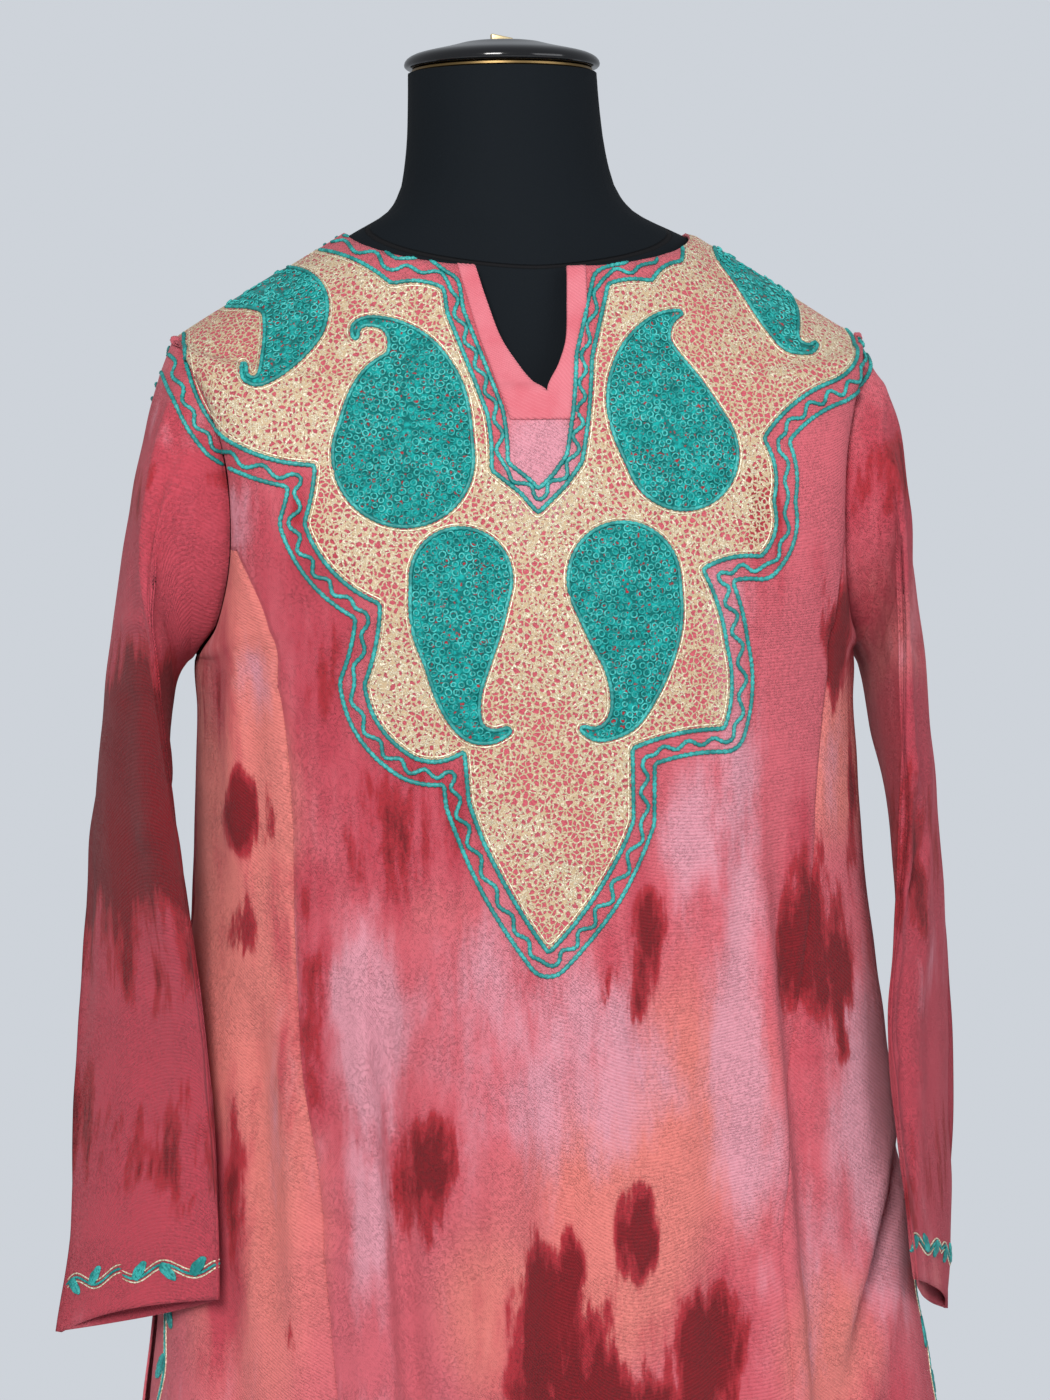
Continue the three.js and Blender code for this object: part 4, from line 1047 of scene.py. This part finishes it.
cloth, facingStuff = dyedCloth(), facingCloth()
teal, goldStuff = tealThread("tealLoops", "teal", "tealLight"), goldThread()
tealLine = tealThread("tealLines", "tealLow", "tealMid")
dress(makePanel("front", frontReaches), cloth, "dyed_cloth", "front_panel")
dress(makePanel("back", backReaches), cloth, "dyed_cloth", "back_panel")
print("panels made")
for face in ("front", "back"):
    for side, hand in ((-1, "left"), (1, "right")):
        dress(makeGore(face, side), cloth, "dyed_cloth", f"gore_{face}_{hand}")
for hand in ("Left", "Right"):
    dress(makeSleeve(hand), cloth, "dyed_cloth", f"sleeve_{hand.lower()}")
print("gores and sleeves made")
dress(makeFacing(), facingStuff, "facing_cloth", "neck_facing")

dress(makeForm(), formCloth(), "form_cloth", "form_body")
capDome, capRing = makeCap()
dress(capDome, plainFinish("capLacquer", "cap", 0.12), "cap_lacquer", "neck_cap")
dress(capRing, plainFinish("brass", "brass", 0.4, 1.0), "brass_trim", "cap_ring")
dress(makeKnob(), plainFinish("paleBrass", "tab", 0.4, 0.7), "brass_trim", "cap_knob")
pole, standBase = makeStand()
enamel = plainFinish("enamel", "enamel", 0.35, 0.3)
dress(pole, enamel, "stand_enamel", "pole")
dress(standBase, enamel, "stand_enamel", "base")
print("form and stand made")


# Thread laid on the cloth, in millimetres: radii, how far apart a path's points are, and how a cord swells
thread = {
    "border": 1.3, "wave": 1.25, "outline": 1.2, "gold": 0.5, "stem": 0.85, "leaf": 1.0,
    "step": 1.2, "farthest": 22, "sides": 6, "beat": 3.4, "waveBeat": 3.0, "swell": 0.2, "flatness": 0.8, "lift": 0.45,
    "loopSpacing": 4.2, "loopRadius": 1.7, "loopThread": 0.48, "loopPoints": 8, "loopSides": 4,
}
clothCounts = np.cumsum([0] + [len(outer) for outer, _ in clothFaces])
clothTree = BVHTree.FromPolygons(
    np.concatenate([outer for outer, _ in clothFaces]).tolist(),
    np.concatenate([quads + start for (_, quads), start in zip(clothFaces, clothCounts)]).tolist())


def onCloth(x, z, face="front"):
    # the place on the front or the back of the garment that is seen at x, z, or nothing
    way = -1 if face == "front" else 1
    place, _, _, _ = clothTree.ray_cast(Vector((x, 400 * way, z)), Vector((0, -way, 0)))
    return place if place is not None and place.y * way > -1 else None


def snapped(points):
    found = [clothTree.find_nearest(Vector(p)) for p in points]
    return np.array([f[0] for f in found]), np.array([f[1] for f in found])


def evenly(points, step):
    # the same line with its points a step apart
    points = np.asarray(points, float)
    gone = np.concatenate([[0], np.cumsum(np.linalg.norm(np.diff(points, axis=0), axis=1))])
    if gone[-1] < 2 * step:
        return None
    at = np.linspace(0, gone[-1], int(gone[-1] / step) + 1)
    return np.stack([np.interp(at, gone, points[:, k]) for k in range(points.shape[1])], axis=-1)


def clothPaths(lines, face="front"):
    # flat lines of x, z laid on the cloth, in pieces where they leave it
    paths = []
    for line in lines:
        run = []
        for x, z in list(line) + [(None, None)]:
            place = None if x is None else onCloth(x, z, face)
            broken = place is not None and run and (place - run[-1]).length > thread["farthest"]
            if place is None or broken:
                even = evenly(run, thread["step"]) if len(run) > 2 else None
                if even is not None:
                    paths.append(snapped(even))
                run = []
            if place is not None:
                run.append(place)
    return paths


def levelLines(depth, xs, zs, level):
    # the lines along which a map of depths crosses a level, joined end to end
    above = depth > level
    corner = above[:-1, :-1]
    mixed = (corner != above[1:, :-1]) | (corner != above[:-1, 1:]) | (corner != above[1:, 1:])
    links = {}
    for i, j in np.argwhere(mixed).tolist():
        corners = [(i, j), (i + 1, j), (i + 1, j + 1), (i, j + 1)]
        cut = [(min(a, b), max(a, b)) for a, b in zip(corners, corners[1:] + corners[:1]) if above[a] != above[b]]
        for a, b in zip(cut[::2], cut[1::2]):
            links.setdefault(a, []).append(b)
            links.setdefault(b, []).append(a)
    lines = []
    while links:
        start = next((key for key in links if len(links[key]) == 1), next(iter(links)))
        chain, here = [start], start
        while links.get(here):
            following = links[here].pop()
            links[following].remove(here)
            if not links[here]:
                links.pop(here)
            here = following
            chain.append(here)
        links = {key: value for key, value in links.items() if value}
        line = []
        for a, b in chain:
            t = (level - depth[a]) / (depth[b] - depth[a])
            line.append((xs[a[0]] + (xs[b[0]] - xs[a[0]]) * t, zs[a[1]] + (zs[b[1]] - zs[a[1]]) * t))
        lines.append(line)
    return lines


def rounded(line, passes=2):
    points = np.array(line)
    for _ in range(passes):
        if len(points) > 4:
            points[1:-1] = (points[:-2] + 2 * points[1:-1] + points[2:]) / 4
    return points


def waved(line):
    # the line swung from side to side, less where it turns a corner
    even = evenly(rounded(line, 6), 1.0)
    if even is None:
        return np.zeros((0, 2))
    way = np.gradient(even, axis=0)
    way /= np.linalg.norm(way, axis=1)[:, None]
    at = np.arange(len(even))
    bend = np.convolve(np.linalg.norm(np.gradient(way, axis=0), axis=1), np.ones(9) / 9, "same")
    swing = np.sin(at * 2 * math.pi / yoke["waveLength"] + 1.1 * np.sin(at / 23)) * yoke["waveHeight"] / (1 + 10 * bend)
    swing *= 1 + 0.22 * np.sin(at / 31)
    return even + np.stack([-way[:, 1], way[:, 0]], axis=-1) * swing[:, None]


def threadObject(name, points, faces, material):
    return dress(meshObject(name, np.concatenate(points), np.concatenate(faces)), material, "dyed_cloth")


def tubeQuads(rings, sides, closed):
    # the faces between rings of points, joined end to end where the tube is closed
    i, j = np.meshgrid(np.arange(rings if closed else rings - 1), np.arange(sides), indexing="ij")
    k, following = (j + 1) % sides, (i + 1) % rings
    quad = [i * sides + j, i * sides + k, following * sides + k, following * sides + j]
    return np.stack(quad, axis=-1).reshape(-1, 4)


def threadTube(name, paths, radius, material, beat=thread["beat"]):
    # a raised cord of stitches along each path, a little thicker once a stitch
    points, faces, count = [], [], 0
    sides = thread["sides"]
    turn = np.arange(sides) * 2 * math.pi / sides
    for places, out in paths:
        n = len(places)
        way = np.gradient(places, axis=0)
        way /= np.linalg.norm(way, axis=1)[:, None] + 1e-9
        across = np.cross(way, out)
        across /= np.linalg.norm(across, axis=1)[:, None] + 1e-9
        gone = np.arange(n) * np.linalg.norm(places[1] - places[0])
        ends = np.minimum(1, np.minimum(np.arange(n), np.arange(n)[::-1]) / 2 + 0.15)
        thick = radius * (1 + thread["swell"] * np.sin(gone * 2 * math.pi / beat)) * ends
        upward = thread["flatness"] * out[:, None] * np.sin(turn)[None, :, None]
        ring = (across[:, None] * np.cos(turn)[None, :, None] + upward) * thick[:, None, None]
        points.append((places[:, None] + out[:, None] * radius * thread["lift"] + ring).reshape(-1, 3))
        faces.append(tubeQuads(n, sides, False) + count)
        count += n * sides
    return threadObject(name, points, faces, material)


def loopStitches(name, paths, material):
    # small rings of thread set side by side along each path
    chance = np.random.default_rng(21)
    around, sides, thick = thread["loopPoints"], thread["loopSides"], thread["loopThread"]
    turn = np.arange(around) * 2 * math.pi / around
    tube = np.arange(sides) * 2 * math.pi / sides
    points, faces, count = [], [], 0
    for places, out in paths:
        way = np.gradient(places, axis=0)
        for at in range(0, len(places), max(1, round(thread["loopSpacing"] / thread["step"]))):
            up = out[at] + chance.normal(size=3) * 0.16
            up /= np.linalg.norm(up)
            first = np.cross(up, way[at])
            first /= np.linalg.norm(first) + 1e-9
            second = np.cross(up, first)
            size = thread["loopRadius"] * chance.uniform(0.85, 1.2)
            spoke = first * np.cos(turn)[:, None] + second * np.sin(turn)[:, None] * chance.uniform(0.8, 1.15)
            ring = spoke[:, None] * (size + thick * np.cos(tube))[None, :, None]
            ring += up * (thick * np.sin(tube))[None, :, None]
            centre = places[at] + out[at] * thick * 0.8 + way[at] * chance.uniform(-0.3, 0.3)
            points.append((centre + ring).reshape(-1, 3))
            faces.append(tubeQuads(around, sides, True) + count)
            count += around * sides
    return threadObject(name, points, faces, material)


def smoothPaths(lines, face="front"):
    return clothPaths([rounded(line) for line in lines], face)


def embroiderBand(face, gold, xs, zs, borderName, waveName):
    # two border lines with a wavy line between them, outside the gold
    edge, outer = (levelLines(gold, xs, zs, level) for level in (0.6, -yoke["lineGap"]))
    wave = [waved(line) for line in levelLines(gold, xs, zs, -yoke["waveGap"])]
    threadTube(borderName, smoothPaths(edge + outer, face), thread["border"], tealLine)
    threadTube(waveName, clothPaths(wave, face), thread["wave"], tealLine, thread["waveBeat"])


def embroiderYoke():
    xs, zs = np.arange(-225, 226, 1.5), np.arange(895, 1375, 1.5)
    x, z = np.meshgrid(xs, zs, indexing="ij")
    gold = goldDepth("front", x, z)
    inNeck = smoothStep((yoke["neckHalf"] - np.abs(x)) / 12) * (z > yoke["neckFoot"]) * (gold < 0)
    gold = gold * (1 + inNeck * (yoke["lineGap"] / yoke["neckGap"] - 1))
    embroiderBand("front", gold, xs, zs, "borderLines", "borderWave")
    outlines, rows, inner = [], [], levelLines(gold, xs, zs, 3.2)
    for name in paisleys:
        depth = paisleyDepth(name, x, z)
        outlines += levelLines(depth, xs, zs, 0.2)
        inner += levelLines(depth, xs, zs, -2.2)
        for level in np.arange(3.2, depth.max(), 4.1):
            rows += levelLines(depth, xs, zs, level)
    threadTube("paisleyLines", smoothPaths(outlines), thread["outline"], tealLine)
    threadTube("goldLines", smoothPaths(inner), thread["gold"], goldStuff)
    loopStitches("paisleyLoops", smoothPaths(rows), teal)


def embroiderBack():
    xs, zs = np.arange(-225, 226, 1.5), np.arange(1240, 1385, 1.5)
    gold = goldDepth("back", *np.meshgrid(xs, zs, indexing="ij"))
    embroiderBand("back", gold, xs, zs, "backBorder", "backWave")


# Vines at the cuffs and beside the side slits: a winding stem with a leaf at every turn
vine = {
    "above": 23, "fromSlit": 13, "goreWidth": 72, "slitRows": (21.8, 30.7),
    "leafStep": 22, "leafLength": 13, "leafWidth": 6.4, "leafTaper": 0.4, "leafFills": (1, 0.62, 0.25),
    "swing": 3.4, "couching": (2.2, -2.4), "firstLeaf": 8, "lastLeaf": 12,
    "slitScale": 1.5,  # leaves beside the slits are larger and farther apart
}


def vineAlong(route, scale):
    # the stem winds round the route's places, and its leaves lie to both sides of it
    v = vine
    places, out = snapped(evenly(route, thread["step"]))
    way = np.gradient(places, axis=0)
    way /= np.linalg.norm(way, axis=1)[:, None]
    across = np.cross(way, out)
    gone = np.arange(len(places)) * thread["step"]
    leafStep = v["leafStep"] * scale
    stem = places + across * (v["swing"] * np.sin(gone * math.pi / leafStep))[:, None]
    leaves, couching = [], [snapped(stem + across * off) for off in v["couching"]]
    t = np.linspace(0, 2 * math.pi, 26)
    along = (1 - np.cos(t)) / 2 * v["leafLength"]
    wide = np.sin(t) * v["leafWidth"] / 2 * (1 - v["leafTaper"] * along / v["leafLength"])
    for number, at in enumerate(range(v["firstLeaf"], len(places) - v["lastLeaf"], round(leafStep / thread["step"]))):
        side = 1 if number % 2 else -1
        lean = way[at] * 0.75 + across[at] * side * 0.66
        flat = np.cross(out[at], lean)
        for part in v["leafFills"]:  # an outline and its filling
            leaves.append(snapped(stem[at] + (lean * along[:, None] + flat * wide[:, None] * part) * scale))
    return [snapped(stem)], leaves, couching


def embroiderVines():
    turn = np.linspace(0, 2 * math.pi, 120)
    along = np.full(len(turn), sectionsOfSleeve - vine["above"] / garment["sectionStep"])
    routes = [(sleevePoint(table, side, along, turn), 1) for table, side in ((leftSleeve, -1), (rightSleeve, 1))]
    rows, reach = np.linspace(*vine["slitRows"], 90), np.array([2 - vine["fromSlit"] / vine["goreWidth"]])
    for face in ("front", "back"):
        for side in (-1, 1):
            routes.append((bodySheet(face, side, rows, reach)[:, 0], vine["slitScale"]))
    stems, leaves, couching = [], [], []
    for route, scale in routes:
        for found, made in zip((stems, leaves, couching), vineAlong(route, scale)):
            found += made
    threadTube("vineStems", stems, thread["stem"], tealLine)
    threadTube("vineLeaves", leaves, thread["leaf"], tealLine)
    threadTube("vineGold", couching, thread["gold"], goldStuff)


embroiderYoke()
embroiderBack()
embroiderVines()
print("embroidery made")


# Setting: a pale floor, a pale room behind it, soft light and the camera
setting = {
    "floorRadius": 2.1, "floorDrop": 0.0005, "roomLight": 0.4, "roomSeen": 0.70, "azimuth": -9.0, "pitch": 4.09,
    "roll": 0.6, "distance": 2.1, "eyeHeight": 1.221, "sideways": 0.0018, "lens": 90, "sensor": 36,
}
lamps = {  # place, height that it aims at, size, power, colour and whether gloss mirrors it
    "windowLight": ((-1.0, -2.9, 2.4), 1.05, (1.0, 1.2), 108, (1.0, 0.985, 0.965), True),
    "fillLight": ((2.4, -2.2, 1.8), 1.0, (2.2, 2.0), 34, (0.96, 0.97, 1.0), True),
    "backLight": ((1.4, 2.6, 2.4), 1.0, (2.0, 2.0), 60, (0.97, 0.98, 1.0), False),
}


def makeFloor():
    bpy.ops.object.select_all(action="DESELECT")
    bpy.ops.mesh.primitive_circle_add(vertices=128, radius=setting["floorRadius"], fill_type="NGON")
    floor = bpy.context.object
    floor.name = "floor"
    floor.location.z = -setting["floorDrop"]
    floor.data.materials.append(plainFinish("paleFloor", "floor", 0.9, shine=0.2))
    return floor


def makeRoom():
    # the room lights the part softly, and the camera sees it a little brighter
    world = bpy.data.worlds.new("room")
    world.use_nodes = True
    tree = world.node_tree
    light = tree.nodes["Background"]
    light.inputs["Color"].default_value = colours["room"]
    light.inputs["Strength"].default_value = setting["roomLight"]
    seen = addNode(tree, "ShaderNodeBackground", {"Color": colours["room"], "Strength": setting["roomSeen"]})
    path = addNode(tree, "ShaderNodeLightPath", {})
    values = {0: path.outputs["Is Camera Ray"], 1: light.outputs[0], 2: seen.outputs[0]}
    mixed = addNode(tree, "ShaderNodeMixShader", values)
    tree.links.new(mixed.outputs[0], tree.nodes["World Output"].inputs["Surface"])
    bpy.context.scene.world = world


def addLamp(name, place, aimHeight, size, power, colour, mirrored):
    lamp = bpy.data.lights.new(name, "AREA")
    lamp.shape, lamp.size, lamp.size_y, lamp.energy, lamp.color = "RECTANGLE", *size, power, colour
    obj = linked(name, lamp)
    obj.location = place
    obj.rotation_euler = (Vector((0, 0, aimHeight)) - Vector(place)).to_track_quat("-Z", "Y").to_euler()
    obj.visible_glossy = mirrored


def addCamera():
    s = setting
    azimuth, pitch, roll = (math.radians(s[name]) for name in ("azimuth", "pitch", "roll"))
    across = Vector((math.cos(azimuth), math.sin(azimuth), 0))
    ahead = Vector((-math.sin(azimuth) * math.cos(pitch), math.cos(azimuth) * math.cos(pitch), -math.sin(pitch)))
    upward = across.cross(ahead)
    right = across * math.cos(roll) - upward * math.sin(roll)
    top = across * math.sin(roll) + upward * math.cos(roll)
    level = s["distance"] * math.cos(pitch)
    place = Vector((math.sin(azimuth), -math.cos(azimuth), 0)) * level + across * s["sideways"]
    place.z = s["eyeHeight"]
    data = bpy.data.cameras.new("camera")
    data.lens, data.sensor_fit, data.sensor_height = s["lens"], "VERTICAL", s["sensor"]
    camera = linked("camera", data)
    camera.matrix_world = Matrix((right, top, -ahead)).transposed().to_4x4()
    camera.matrix_world.translation = place
    bpy.context.scene.camera = camera


makeFloor()
makeRoom()
for name, values in lamps.items():
    addLamp(name, *values)
bpy.context.scene.view_settings.view_transform = "Standard"
addCamera()
print("light and camera set")
